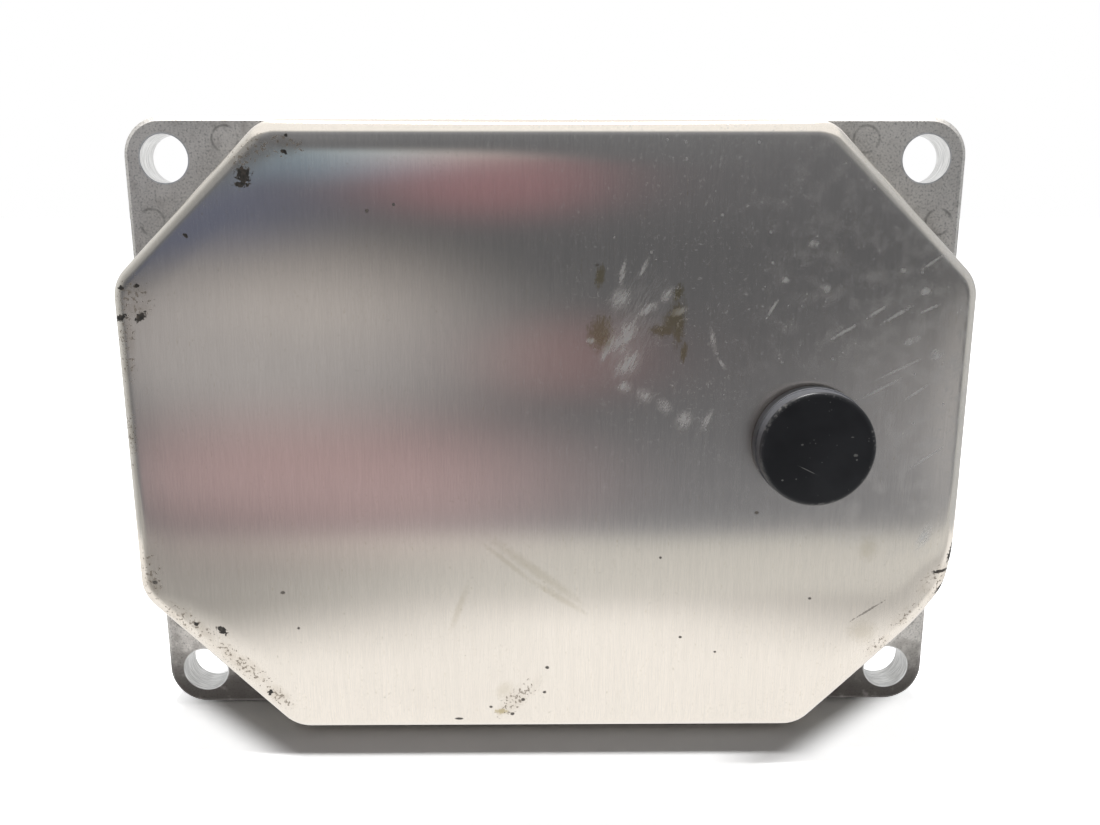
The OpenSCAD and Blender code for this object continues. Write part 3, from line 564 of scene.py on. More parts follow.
SMEARS = [
    (-2.0, -23.5, 15.0, 1.5, -37), (2.0, -28.5, 9.0, 1.0, -33), (-7.0, -22.0, 9.0, 0.8, -40),
    (-16.0, -30.5, 7.0, 1.0, 70), (-8.0, -47.0, 3.0, 2.0, 45), (58.0, -19.5, 2.6, 3.4),
    (58.0, -35.5, 3.8, 3.4),
]
SCUFFS = [
    (12.6, 25.8, 3.2, 2.4, 50), (12.8, 30.0, 3.4, 0.7, 80), (16.4, 31.0, 2.8, 0.6, 65),
    (17.2, 24.0, 3.0, 1.4, 30), (20.4, 26.4, 2.2, 1.2, 60), (14.0, 14.6, 4.6, 2.6, 45),
    (13.4, 19.4, 6.4, 2.4, 60), (10.6, 17.5, 4.4, 1.2, 65), (13.5, 10.5, 1.8, 1.5),
    (17.0, 9.0, 2.2, 1.6, -40), (20.5, 7.0, 2.2, 1.6, -50), (24.0, 4.5, 2.4, 1.9, 60),
    (28.0, 4.5, 3.0, 0.8, 65), (28.6, 18.6, 3.4, 0.7, 100), (30.2, 14.6, 1.8, 0.5, -55),
    (45.0, 35.0, 1.5, 1.0), (47.5, 27.5, 1.2, 1.2), (60.5, 30.5, 1.0, 0.8), (40.5, 29.0, 1.2, 0.9),
    (64.5, 27.0, 1.6, 1.2), (63.0, 18.5, 2.6, 1.0, 25), (67.5, 16.0, 2.0, 1.7), (22.6, 23.6, 2.2, 0.9, 20),
    (7.6, 18.6, 1.2, 0.8), (68.0, -17.0, 1.6, 4.0, -25),
]
SCRATCHES = [
    (51.0, 20.0, 4.6, 0.45, 30), (56.5, 23.5, 2.8, 0.40, 33), (60.0, 23.0, 4.6, 0.45, 31),
    (65.5, 24.0, 3.0, 0.40, 25), (65.5, 32.0, 3.4, 0.35, 35), (58.0, 10.0, 6.2, 0.35, 28),
    (64.5, 9.5, 3.8, 0.35, 35), (67.0, -2.5, 5.4, 0.35, 35), (38.5, 24.0, 2.8, 0.40, 60),
    (61.0, 13.5, 7.0, 0.30, 26),
]
GOUGES = [(58.6, -31.6, 5.4, 0.30, 34)]
THUMB = (14.5, 20.5, 12.0, 6.0, 65)
# Scattered pale dots a millimetre
DOTS = 0.34


def brushed_sheet(colours):
    """Sheet brushed along its height, with tar, glue, scuffs and scratches from hands and tools."""
    finish = Finish("brushed_sheet", {"Anisotropic": 0.9})
    x = finish.axis("X")
    z = finish.axis("Z")
    brush = finish.noise(1.0, 2.0, (6.0, 6.0, 0.24))
    streak = finish.noise(1.0, 2.0, (0.9, 0.9, 0.04))
    cloud = finish.noise(0.035, 3.0)
    ragged = finish.noise(2.2, 4.0) - 0.5
    crumbs = finish.noise(1.9, 3.0)
    dusty = finish.noise(0.32, 5.0)
    rubbed = finish.noise(1.0, 3.0, (0.4, 1.0, 3.0), 62).smooth(0.36, 0.64)

    tar = (finish.blobs(TAR) + ragged * 1.3).smooth(0.34, 0.54)
    gritty = finish.blobs(GRIT)
    grit = (crumbs + gritty * 0.14).smooth(0.64, 0.73) * gritty.smooth(0.02, 0.3)
    specks = (finish.blobs(SPECKS) + ragged * 0.4).smooth(0.2, 0.55)
    glue = (finish.blobs(GLUE) + ragged * 0.9 + brush * 0.9 - 0.45).smooth(0.10, 0.70)
    smears = (finish.blobs(SMEARS) + ragged * 0.6).smooth(0.05, 0.85)
    scuffs = (finish.blobs(SCUFFS) + ragged * 0.6).smooth(0.0, 1.05) * (0.35 + rubbed * 0.65)
    thumbed = finish.blob(*THUMB) * rubbed
    scratches = (finish.blobs(SCRATCHES) + ragged * 1.1).smooth(0.10, 0.75)
    gouges = (finish.blobs(GOUGES) + ragged * 1.2).smooth(0.25, 0.6)
    spread = x.smooth(-15, 35) * z.smooth(-22, 2)
    seeds = finish.node("ShaderNodeSeparateXYZ", {}, {0: finish.cells(DOTS, "Color")}, "X")
    dots = finish.cells(DOTS).smooth(0.04 + seeds * 0.09, 0.03)
    dots = dots * seeds.smooth(0.3, 0.6) * spread
    flecks = (crumbs + dusty * 0.3).smooth(0.74, 0.90) * (0.2 + spread)
    haze = dusty.smooth(0.42, 0.75) * x.smooth(20, 72) * z.smooth(-30, -5)
    pale = finish.largest(scuffs * 0.8, scratches * 0.50, dots * 0.6, flecks * 0.25, haze * 0.26,
                          thumbed * 0.3)
    soiled = gritty.smooth(0.0, 0.6) * dusty.smooth(0.35, 0.65)
    dark = finish.largest(tar * 0.95, specks * 0.8)
    matte = finish.largest(dark.smooth(0.4, 1.0), pale * 0.75, grit * 0.4)

    base = colours.sheet
    tone = finish.layers(
        finish.mix(brush.smooth(0.3, 0.7), shade(base, 0.95), shade(base, 1.02)),
        (streak.smooth(0.35, 0.7) * 0.2, shade(base, 0.88)),
        (cloud.smooth(0.45, 0.75) * 0.2, shade(base, 0.87)),
        (smears * 0.35, (0.62, 0.55, 0.42)),
        (soiled * 0.30, (0.50, 0.42, 0.32)),
        (glue * 0.7, (0.46, 0.37, 0.17)),
        (pale, (0.84, 0.84, 0.83)),
        (gouges * 0.6, (0.16, 0.14, 0.12)),
        (grit * 0.65, (0.22, 0.17, 0.12)),
        (dark, finish.mix(crumbs.smooth(0.4, 0.7), (0.005, 0.005, 0.004), (0.09, 0.072, 0.055))),
    )
    roughness = 0.175 + brush * 0.03 + matte * 0.35 + glue * 0.06
    return finish.done(tone, roughness, (brush, 0.010, 0.3), {"Metallic": 1.0 - matte})


class ECU_OT_cover(bpy.types.Operator):
    """Press the brushed cover"""

    bl_idname = "ecu.cover"
    bl_label = "Cover"

    def execute(self, context):
        points = cover_surface(context.scene.ecu_cover)
        mesh = solid_mesh("cover_sheet", points.reshape(-1, 3), closed_grid(*points.shape[:2]))
        add_piece("cover_sheet", mesh, "brushed_sheet", brushed_sheet(context.scene.ecu_colours), "cover")
        dress(seal_rubber("seal_rubber", context.scene.ecu_colours), "cover_seal")
        return {"FINISHED"}


# Breather

LATHE_STEPS = 128
EASING_STEPS = 5
EASING_SHARE = 0.45


def eased_profile(points, easing):
    """The points joined by straight lines, with every inner corner eased.

    A corner becomes the quadratic curve from a point one easing before it to a point one easing after it,
    or less where a line is too short for that.
    """
    points = np.array(points)
    corner = points[1:-1]
    before = points[:-2] - corner
    after = points[2:] - corner
    length_before = np.linalg.norm(before, axis=1, keepdims=True)
    length_after = np.linalg.norm(after, axis=1, keepdims=True)
    reach = np.minimum(easing, EASING_SHARE * np.minimum(length_before, length_after))
    start = (corner + before / length_before * reach)[:, None]
    end = (corner + after / length_after * reach)[:, None]
    t = np.linspace(0, 1, EASING_STEPS)[None, :, None]
    curve = (1 - t) ** 2 * start + 2 * t * (1 - t) * corner[:, None] + t ** 2 * end
    return np.concatenate((points[:1], curve.reshape(-1, 2), points[-1:]))


def lathe(profile, middle):
    """Points and faces of a closed turned solid about an axis along Y.

    The profile gives a radius and a depth for each ring, and each ring is its radius times the cosine and
    sine of the angle round the middle. Its first and last points lie on the axis and close the two poles.
    """
    angle = np.linspace(0, 2 * math.pi, LATHE_STEPS, endpoint=False)
    radius, depth = profile.T
    rings = np.stack((
        middle[0] + radius[1:-1, None] * np.cos(angle),
        np.broadcast_to(depth[1:-1, None], (len(profile) - 2, LATHE_STEPS)),
        middle[1] + radius[1:-1, None] * np.sin(angle),
    ), axis=-1)
    poles = np.array([(middle[0], depth[0], middle[1]), (middle[0], depth[-1], middle[1])])
    points = np.concatenate((rings.reshape(-1, 3), poles))
    index = np.arange(rings.shape[0] * LATHE_STEPS).reshape(-1, LATHE_STEPS)
    onward = np.roll(index, -1, axis=1)
    walls = np.stack((index[:-1], onward[:-1], onward[1:], index[1:]), axis=-1).reshape(-1, 4)
    first = np.full(LATHE_STEPS, len(points) - 2)
    last = np.full(LATHE_STEPS, len(points) - 1)
    start = np.stack((first, onward[0], index[0], first), axis=-1)
    end = np.stack((last, index[-1], onward[-1], last), axis=-1)
    return points, np.concatenate((walls, start, end))


def cap_profile(sizes):
    """The cap's section from the middle of its face, down the outside and up the bore to the axis."""
    radius = (CAP_HIGH.x - CAP_LOW.x) / 2
    face = CAP_LOW.y
    foot = CAP_HIGH.y
    wall = radius - sizes.step
    return eased_profile([
        (0, face),
        (wall - sizes.chamfer, face),
        (wall, face + sizes.chamfer),
        (wall, foot - sizes.flange),
        (radius, foot - sizes.flange),
        (radius, foot),
        (sizes.seat, foot),
        (sizes.seat, foot - sizes.skirt),
        (sizes.bore, foot - sizes.skirt),
        (sizes.bore, face + sizes.top),
        (0, face + sizes.top),
    ], sizes.easing)


# Dust and a scratch on the cap's face, laid out like the marks on the cover
DUST = [
    (43.5, 1.5, 0.4, 0.3), (52.8, -0.4, 0.7, 0.5), (53.0, -1.2, 0.3, 0.3), (40.4, -4.8, 0.4, 0.3),
    (44.6, -3.0, 3.2, 0.14, -26), (42.8, -4.6, 0.3, 0.2), (52.0, 2.8, 0.5, 0.2),
]


def cap_plastic(colours):
    """Smooth black plastic with a rubbed rim, a little dust, a faint scratch, and a grey bloom with painted
    sheen on the flank.
    """
    finish = Finish("cap_plastic", {"Specular IOR Level": 0.5})
    middle = CAP_MIDDLE / MM
    rise = (CAP_HIGH.y - CAP_LOW.y) / MM
    ragged = finish.noise(1.6, 4.0) - 0.5
    grain = finish.noise(6.0)
    cloud = finish.noise(0.15)
    seen = finish.vector("MULTIPLY", finish.place, FRONT)
    from_middle = finish.vector("DISTANCE", seen, (middle.x, 0, middle.z), output="Value")
    height = finish.axis("Y") - CAP_LOW.y / MM
    rim = from_middle.smooth(9.1, 9.5) * height.smooth(1.1, 0.3)
    worn = (rim + ragged * 1.4).smooth(0.9, 1.3) * finish.noise(0.22).smooth(0.45, 0.62)
    # The flank is grey bloom all round that also paints its sheen; its top is paler still, dust with a
    # painted sheen
    wall = height.smooth(0.3, 0.6)
    flange = height.smooth(rise - 2.6, rise - 2.3)
    top_dust_and_sheen = wall * finish.axis("Z").smooth(middle.z + 1, middle.z + 7) * (0.35 + flange * 0.6)
    dust = (finish.blobs(DUST) + ragged * 0.6).smooth(0.3, 0.7)
    scattered = finish.noise(0.16).smooth(0.48, 0.62)
    specks = finish.cells(0.9).smooth(0.13, 0.05) * scattered
    pale = finish.largest(worn * 0.5, dust * 0.45, specks * 0.35)
    tone = finish.layers(
        finish.mix(cloud.smooth(0.35, 0.7), colours.cap, shade(colours.cap, 1.6)),
        (rim * 0.3, (0.05, 0.05, 0.053)),
        # Painted sheen: the grey flank and its paler top stand partly for light caught there, partly for
        # bloom and dust
        (wall * 0.7, finish.mix(ragged + 0.5, (0.06, 0.06, 0.067), (0.16, 0.16, 0.175))),
        (top_dust_and_sheen, finish.mix(ragged + 0.5, (0.20, 0.205, 0.22), (0.29, 0.295, 0.32))),
        (pale, (0.36, 0.35, 0.33)),
    )
    return finish.done(tone, 0.28 + cloud * 0.1 + pale * 0.3 + wall * 0.3, (grain + pale, 0.008, 0.3))


class ECU_OT_breather(bpy.types.Operator):
    """Turn the breather's cap and dress what it covers"""

    bl_idname = "ecu.breather"
    bl_label = "Breather"

    def execute(self, context):
        colours = context.scene.ecu_colours
        points, faces = lathe(cap_profile(context.scene.ecu_breather), (CAP_MIDDLE.x, CAP_MIDDLE.z))
        mesh = solid_mesh("breather_cap", points, faces)
        add_piece("breather_cap", mesh, "cap_plastic", cap_plastic(colours), "vent_cap")
        dress(moulded_plastic("breather_body", colours.moulding, 0.5), "vent_body")
        dress(membrane_cloth(colours), "vent_membrane")
        dress(seal_rubber("breather_rubber", colours), "vent_seal_ring")
        return {"FINISHED"}


# Housing

# Round marks of the ejector pins on one lug, mirrored to the other three
EJECTORS = [(56.8, 0, 52.6), (70.8, 0, 38.2)]
EJECTOR_RADIUS = 2.3


def cast_aluminium(colours):
    """Matt die casting: sparkling grain, cloudy tarnish, bright drilled holes and lower lugs darker towards
    the bottom.
    """
    finish = Finish("cast_aluminium")
    x = finish.axis("X")
    y = finish.axis("Y")
    z = finish.axis("Z")
    grain = finish.noise(2.6, 3.0)
    crystals = finish.cells(1.6)
    cloud = finish.noise(0.09, 3.0)
    patch = finish.noise(0.35, 4.0)
    turned = finish.noise(1.0, 2.0, (0.4, 5.0, 0.4))
    quarter = finish.vector("ABSOLUTE", finish.vector("MULTIPLY", finish.place, FRONT))

    def away(point):
        """Distance from a point that is mirrored to all four corners, seen from the front."""
        return finish.vector("DISTANCE", quarter, point, output="Value")

    def ring(point):
        """1 on the circle that an ejector pin leaves about a point."""
        return (away(point) - EJECTOR_RADIUS).math("ABSOLUTE").smooth(0.35, 0.05)

    from_hole = away(HOLE_PLACE)
    drilled = from_hole.smooth(HOLE_RADIUS + 0.35, HOLE_RADIUS + 0.1)
    clean = (from_hole + cloud * 6).smooth(13, 5)
    rings = finish.largest(*(ring(point) for point in EJECTORS))
    rings = rings * y.smooth(1.0, 0.2) * patch.smooth(0.35, 0.6)
    # The lower lugs grow darker, rougher and less metallic towards the bottom, mottled by the patches
    low = z.smooth(-38, -54) * x.math("ABSOLUTE").smooth(30, 58)
    low_dark_matte = (patch + low * 0.35).smooth(0.40, 0.78) * low

    base = colours.casting
    tone = finish.layers(
        finish.mix(cloud.smooth(0.35, 0.68), shade(base, 0.84), shade(base, 1.10)),
        (clean * 0.5, shade(base, 1.25)),
        (grain.smooth(0.50, 0.72) * 0.50, shade(base, 1.22)),
        (grain.smooth(0.50, 0.28) * 0.58, shade(base, 0.36)),
        (patch.smooth(0.48, 0.76) * (1 - clean) * 0.36, (0.27, 0.235, 0.205)),
        (rings * 0.5, (0.12, 0.11, 0.10)),
        (low_dark_matte * 0.85, (0.07, 0.058, 0.050)),
        (drilled, finish.mix(turned.smooth(0.3, 0.7), (0.66, 0.66, 0.65), (0.97, 0.97, 0.96))),
    )
    roughness = 0.46 + grain * 0.14 + low_dark_matte * 0.2 - drilled * 0.15
    relief = grain * 0.7 + crystals * 0.3 - rings * 0.5
    return finish.done(tone, roughness, (relief, 0.07, 0.7), {"Metallic": 0.85 - low_dark_matte * (1 - drilled) * 0.6})


class ECU_OT_housing(bpy.types.Operator):
    """Ease the edges of the cast housing and dress it"""

    bl_idname = "ecu.housing"
    bl_label = "Housing"

    def execute(self, context):
        sizes = context.scene.ecu_castings
        mesh = merged_copy("housing", "cast_housing")
        material = cast_aluminium(context.scene.ecu_colours)
        piece = add_piece("cast_housing", mesh, "cast_aluminium", material, "housing")
        round_edges(piece, sizes.casting)
        return {"FINISHED"}


# Sockets

def moulded_plastic(name, base, strength):
    """Black moulded plastic: a fine eroded grain, slow flow marks and a thin grey bloom."""
    finish = Finish(name)
    grain = finish.noise(3.0, 3.0)
    flow = finish.noise(0.12, 3.0, (1.0, 0.4, 1.0))
    tone = finish.mix(flow.smooth(0.35, 0.7), base, shade(base, 1.7))
    tone = finish.mix(grain.smooth(0.62, 0.8) * 0.5, tone, shade(base, 3.0))
    return finish.done(tone, 0.40 + flow * 0.15 + grain * 0.08, (grain, 0.02, strength))


def pin_metal(colours):
    """Tinned blades, drawn along their length, a little duller in places."""
    finish = Finish("pin_metal", {"Metallic": 1.0})
    drawn = finish.noise(1.0, 2.0, (3.0, 0.2, 3.0))
    cloud = finish.noise(0.5)
    tone = finish.mix(cloud.smooth(0.35, 0.7), shade(colours.pin, 0.75), shade(colours.pin, 1.1))
    return finish.done(tone, 0.22 + drawn * 0.2, (drawn, 0.01, 0.4))


def seal_rubber(name, colours):
    """Matt rubber with a dusty bloom."""
    finish = Finish(name, {"Specular IOR Level": 0.3})
    grain = finish.noise(4.0, 3.0)
    bloom = finish.noise(0.4, 3.0)
    tone = finish.mix(bloom.smooth(0.4, 0.75) * 0.6, colours.rubber, shade(colours.rubber, 2.2))
    return finish.done(tone, 0.65 + grain * 0.2, (grain, 0.03, 0.5))


class ECU_OT_sockets(bpy.types.Operator):
    """Mould the two sockets and dress their pins, carriers and seals"""

    bl_idname = "ecu.sockets"
    bl_label = "Sockets"

    def execute(self, context):
        colours = context.scene.ecu_colours
        sizes = context.scene.ecu_castings
        material = moulded_plastic("moulded_plastic", colours.moulding, 0.6)
        for side in ("engine", "vehicle"):
            mesh = merged_copy(f"{side}_header", f"{side}_socket")
            piece = add_piece(f"{side}_socket", mesh, "moulded_plastic", material, f"{side}_header")
            round_edges(piece, sizes.moulding)
        carrier = moulded_plastic("carrier_plastic", colours.carrier, 0.5)
        dress(carrier, "engine_pin_carrier", "vehicle_pin_carrier")
        dress(pin_metal(colours), "engine_header_pins", "vehicle_header_pins")
        dress(seal_rubber("socket_rubber", colours), "engine_header_seal", "vehicle_header_seal")
        return {"FINISHED"}


# Electronics

def membrane_cloth(colours):
    """White felted membrane with crossing fibres."""
    finish = Finish("membrane_cloth", {"Specular IOR Level": 0.2})
    one_way = finish.noise(1.0, 3.0, (6.0, 1.0, 0.8))
    other_way = finish.noise(1.0, 3.0, (0.8, 1.0, 6.0))
    fibres = one_way.math("MAXIMUM", other_way)
    tone = finish.mix(fibres.smooth(0.4, 0.7), shade(colours.membrane, 0.8), colours.membrane)
    return finish.done(tone, 0.7 + fibres * 0.2, (fibres, 0.04, 0.6))


def board_laminate(colours):
    """Green solder mask over copper tracks, which show as slightly raised and lighter lines."""
    finish = Finish("board_laminate", {"Coat Weight": 0.3, "Coat Roughness": 0.2})
    lanes = []
    for direction, pitch in (("X", 1.3), ("Z", 1.7)):
        lanes.append(finish.node("ShaderNodeTexWave", {"bands_direction": direction}, {
            "Vector": finish.place, "Scale": 0.314 / pitch, "Distortion": 0.0}, 1))
    region = finish.noise(0.09, 0.0).smooth(0.49, 0.51)
    gaps = finish.noise(0.22, 0.0).smooth(0.52, 0.54)
    tracks = (lanes[0] * region + lanes[1] * (1 - region)).smooth(0.62, 0.72) * (1 - gaps)
    weave = finish.noise(1.0, 2.0, (2.5, 2.5, 2.5))
    tone = finish.mix(tracks, colours.mask, shade(colours.mask, 1.9))
    tone = finish.mix(weave.smooth(0.5, 0.8) * 0.3, tone, shade(colours.mask, 0.6))
    return finish.done(tone, 0.32 + weave * 0.1, (tracks + weave * 0.2, 0.04, 0.7))


def screw_steel(colours):
    """Bright plating with turning marks and grey spots."""
    finish = Finish("screw_steel", {"Metallic": 1.0})
    turned = finish.noise(1.0, 2.0, (1.0, 6.0, 1.0))
    spots = finish.noise(0.9, 3.0).smooth(0.55, 0.75)
    tone = finish.mix(spots * 0.6, colours.steel, shade(colours.steel, 0.5))
    return finish.done(tone, 0.28 + turned * 0.12 + spots * 0.2, (turned, 0.01, 0.4))


def outside_box(finish, node, margin):
    """1 where a solid's surface lies outside its own box taken in by a margin, seen from the front."""
    low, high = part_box(node)
    middle = (low + high) / (2 * MM)
    half = (high - low) / (2 * MM)
    over_x = (finish.axis("X") - middle.x).math("ABSOLUTE") - (half.x - margin)
    over_z = (finish.axis("Z") - middle.z).math("ABSOLUTE") - (half.z - margin)
    return over_x.math("MAXIMUM", over_z).math("GREATER_THAN", 0.0)


def chip_moulding(node, colours, lead):
    """Matt black moulding compound, with tinned leads where the part reaches beyond its moulding."""
    finish = Finish(node + "_moulding")
    grain = finish.noise(5.0, 3.0)
    cloud = finish.noise(0.3)
    leads = outside_box(finish, node, lead)
    body = finish.mix(cloud.smooth(0.3, 0.7), colours.chip, shade(colours.chip, 1.8))
    body = finish.mix(grain.smooth(0.6, 0.8) * 0.4, body, shade(colours.chip, 3.5))
    tone = finish.mix(leads, body, colours.pin)
    return finish.done(tone, 0.55 + grain * 0.15 - leads * 0.3, (grain, 0.02, 0.5), {"Metallic": leads})


def can_metal(name, colours):
    """Drawn aluminium can with drawing lines and a dark plastic foot."""
    finish = Finish(name)
    drawn = finish.noise(1.0, 2.0, (2.0, 0.3, 2.0))
    cloud = finish.noise(0.25)
    foot = finish.axis("Y").smooth(-5.6, -5.4)
    tone = finish.mix(cloud.smooth(0.3, 0.7), shade(colours.can, 0.8), shade(colours.can, 1.1))
    tone = finish.mix(foot, tone, colours.chip)
    return finish.done(tone, 0.25 + drawn * 0.2 + foot * 0.2, (drawn, 0.01, 0.4), {"Metallic": 1.0 - foot})


def sintered(node, base, colours, band):
    """Sintered body with a fine speckle, and a tinned band along the edge of the node's box."""
    finish = Finish(node)
    speckle = finish.noise(4.0, 3.0)
    cloud = finish.noise(0.4)
    tone = finish.mix(cloud.smooth(0.3, 0.7), shade(base, 0.85), shade(base, 1.15))
    tone = finish.mix(speckle.smooth(0.55, 0.75) * 0.5, tone, shade(base, 0.6))
    bands = outside_box(finish, node, band)
    tone = finish.mix(bands, tone, colours.pin)
    return finish.done(tone, 0.5 + speckle * 0.2 - bands * 0.2, (speckle, 0.02, 0.5), {"Metallic": bands})


def pad_silicone(colours):
    """Soft filled silicone with a powdery mottle."""
    finish = Finish("pad_silicone", {"Specular IOR Level": 0.3})
    mottle = finish.noise(1.2, 4.0)
    base = colours.silicone
    tone = finish.mix(mottle.smooth(0.35, 0.7), shade(base, 0.8), shade(base, 1.15))
    return finish.done(tone, 0.7 + mottle * 0.2, (mottle, 0.05, 0.5))


# How far the leads of each chip stand out of its moulding, in millimetres
LEADED_CHIPS = {
    "microcontroller": 0.0,
    "flash_memory": 2.0,
    "supply_regulator": 2.0,
    "injector_driver": 2.0,
    "can_transceiver": 1.0,
    "suppressor_diode": 1.2,
    "power_transistors": 0.0,
    "ignition_drivers": 0.0,
    "pressure_sensor": 0.0,
}


class ECU_OT_electronics(bpy.types.Operator):
    """Dress the circuit board, its parts and the screws"""

    bl_idname = "ecu.electronics"
    bl_label = "Electronics"

    def execute(self, context):
        colours = context.scene.ecu_colours
        dress(board_laminate(colours), "circuit_board")
        dress(screw_steel(colours), "board_screws", "header_screws")
        for node, lead in LEADED_CHIPS.items():
            dress(chip_moulding(node, colours, lead), node)
        dress(can_metal("crystal_can", colours), "quartz_crystal")
        dress(can_metal("capacitor_can", colours), "electrolytic_capacitors")
        dress(sintered("ceramic_capacitors", colours.ceramic, colours, 0.8), "ceramic_capacitors")
        dress(sintered("chip_resistors", colours.chip, colours, 0.4), "chip_resistors")
        dress(sintered("choke_coil", colours.ferrite, colours, 0.0), "choke_coil")
        dress(pad_silicone(colours), "thermal_pads")
        return {"FINISHED"}


# Stage

def flat_mesh(name, corners):
    """One flat face through the corners."""
    mesh = bpy.data.meshes.new(name)
    mesh.from_pydata(corners, [], [range(len(corners))])
    return mesh


def add_stage(name, mesh, material):
    """Puts a mesh into the scene as a part of the studio."""
    piece = add_object(name, mesh)
    mesh.materials.append(material)
    return piece


def ray(nodes, kind):
    """1 for rays of that kind, and 0 for the rest."""
    return nodes.node("ShaderNodeLightPath", output=f"Is {kind} Ray")


def mirrored(nodes):
    """1 for the rays that metal and glass send on to the camera."""
    seen = ray(nodes, "Glossy").math("MAXIMUM", ray(nodes, "Transmission"))
    return seen * nodes.node("ShaderNodeLightPath", output="Diffuse Depth").smooth(0.6, 0.4)


# The floor glows white for the camera, painted light on the shadow's ends, and far away: places in
# millimetres, then shares
SHADOW_MIDDLE = -1.7
SHADOW_TAPER = 1.07
SHADOW_ENDS = (62.2, 74.2)
SHADOW_TRIM = 0.84
NEAR_WHITE = (95, 330)
NEAR_SHARE = 0.40
FAR_WHITE = (300, 1300)
FAR_SHARE = 0.60
# Brightness of the mirrored floor before the card, and how much of it is lost towards either side: a painted
# shadow in the glow
FLOOR_GREY = 0.64
LEFT_LOSS = 0.58
RIGHT_LOSS = 0.42


def white_floor(card_y):
    """Matt white floor: lit and shadowed, with painted light on its shadow's ends and painted shade in its
    mirrored glow.
    """
    finish = Finish("white_floor", {"Roughness": 0.6, "Specular IOR Level": 0.2, "Emission Strength": 1.0})
    x = finish.axis("X")
    y = finish.axis("Y")
    away = finish.vector("LENGTH", finish.place, output="Value")
    across = (x - SHADOW_MIDDLE).math("ABSOLUTE")
    # Painted light: a glow that hides the ends of the object's cast shadow
    shadow_ends_lit = (across - y.math("MINIMUM", 0.0) * SHADOW_TAPER).smooth(*SHADOW_ENDS)
    far = away.smooth(*NEAR_WHITE) * NEAR_SHARE + away.smooth(*FAR_WHITE) * FAR_SHARE
    white = (shadow_ends_lit * SHADOW_TRIM + far) * ray(finish, "Camera")
    mottle = finish.noise(0.02)
    finish.set({
        "Base Color": finish.mix(mottle, (0.93, 0.93, 0.93), (0.95, 0.95, 0.95)),
        "Emission Color": finish.mix(white, (0.0, 0.0, 0.0), (1.0, 1.0, 1.0)),
    })
    # Painted shadow in the floor's mirrored glow: grey before the card and darker to either side near it
    near_card = y.smooth(card_y + 40, card_y + 10)
    shaded_sides = x.smooth(10, -95) * LEFT_LOSS + x.smooth(10, 95) * RIGHT_LOSS
    clear = y.smooth(card_y - 10, card_y + 20)
    mirror = (FLOOR_GREY + clear * (1 - FLOOR_GREY)) * (1 - shaded_sides * near_card)
    glow = finish.glow(finish.mix(mirror, (0.0, 0.0, 0.0), (1.0, 1.0, 1.0)))
    lit = Field(finish, finish.shader.outputs[0])
    finish.surface(finish.node("ShaderNodeMixShader", {}, {0: mirrored(finish), 1: lit, 2: glow}))
    return finish.material


# Brightness of the card by height in millimetres, from its foot on the floor to its upper edge
CARD_GREYS = [
    (-57, 0.66), (-43, 0.585), (-38, 0.28), (-35, 0.232), (-12, 0.165),
    (8, 0.127), (30, 0.122), (62, 0.172), (80, 0.30), (98, 0.75),
]
COOL = (0.90, 0.95, 1.06)
PLAIN = (1.03, 1.04, 1.03)
COOL_BELOW = 0.4
# Soft tints on the card: middle, half width and half height in millimetres, and the colour added there
CARD_TINTS = [
    ((-72, 8, 92, 31), (0.285, 0.275, 0.28)),
    ((-50, 22, 46, 20), (0.09, 0.08, 0.07)),
    ((-56, -27, 90, 28), (0.25, 0.14, 0.14)),
    ((-84, 40, 50, 17), (0.0, 0.01, 0.06)),
    ((-46, 51, 34, 8), (0.07, 0.15, 0.21)),
    ((-28, 53, 36, 6), (0.24, 0.25, 0.23)),
    ((-14, 46, 42, 13), (0.17, 0.04, 0.05)),
    ((4, 4, 30, 16), (0.09, 0.02, 0.02)),
    ((98, -8, 50, 38), (0.095, 0.095, 0.10)),
    ((112, -10, 18, 62), (0.25, 0.25, 0.25)),
]
CARD_SHADE = (-100, -48, 110, 26)
SHADE_TINT = (0.52, 0.51, 0.52)
CORNER_TINT = (0.30, 0.31, 0.32)
LEFT_WING = (0.76, 0.78, 0.79)
LEFT_WING_FRONT = 0.45
RIGHT_WING = (0.56, 0.58, 0.60)
# Shares of the card's half width that its lowest part takes, and of the wings' height at its corners
CARD_MIDDLE = 0.45
CARD_CORNER = 0.8


def grey_card(foot, top, half_width):
    """A soft grey gradient for the face to mirror: dark between its bright foot and top, with faint tints."""
    finish = Finish("grey_card")
    x = finish.axis("X")
    z = finish.axis("Z")
    stops = []
    for height, grey in CARD_GREYS:
        cast = PLAIN if grey > COOL_BELOW else COOL
        stops.append(((height - foot) / (top - foot), shade(cast, grey)))
    share = finish.node("ShaderNodeMapRange", {}, {"Value": z, "From Min": foot, "From Max": top})
    tone = finish.node("ShaderNodeValToRGB", {"stops": stops}, {0: share})
    for mark, tint in CARD_TINTS:
        tone = finish.mix(finish.blob(*mark).smooth(0.0, 0.8), tone, tint, "ADD")
    tone = finish.mix(finish.blob(*CARD_SHADE).smooth(0.0, 0.9), tone, SHADE_TINT, "MULTIPLY")
    corners = x.math("ABSOLUTE").smooth(60, 105) * z.smooth(56, 76)
    tone = finish.mix(corners, tone, CORNER_TINT)
    back = finish.axis("Y").smooth(-80, 60)
    left_wing = finish.mix(back, shade(LEFT_WING, LEFT_WING_FRONT), LEFT_WING)
    tone = finish.mix(x.smooth(20 - half_width, 2 - half_width), tone, left_wing)
    tone = finish.mix(x.smooth(half_width - 20, half_width - 2), tone, RIGHT_WING)
    finish.surface(finish.glow(tone))
    return finish.material


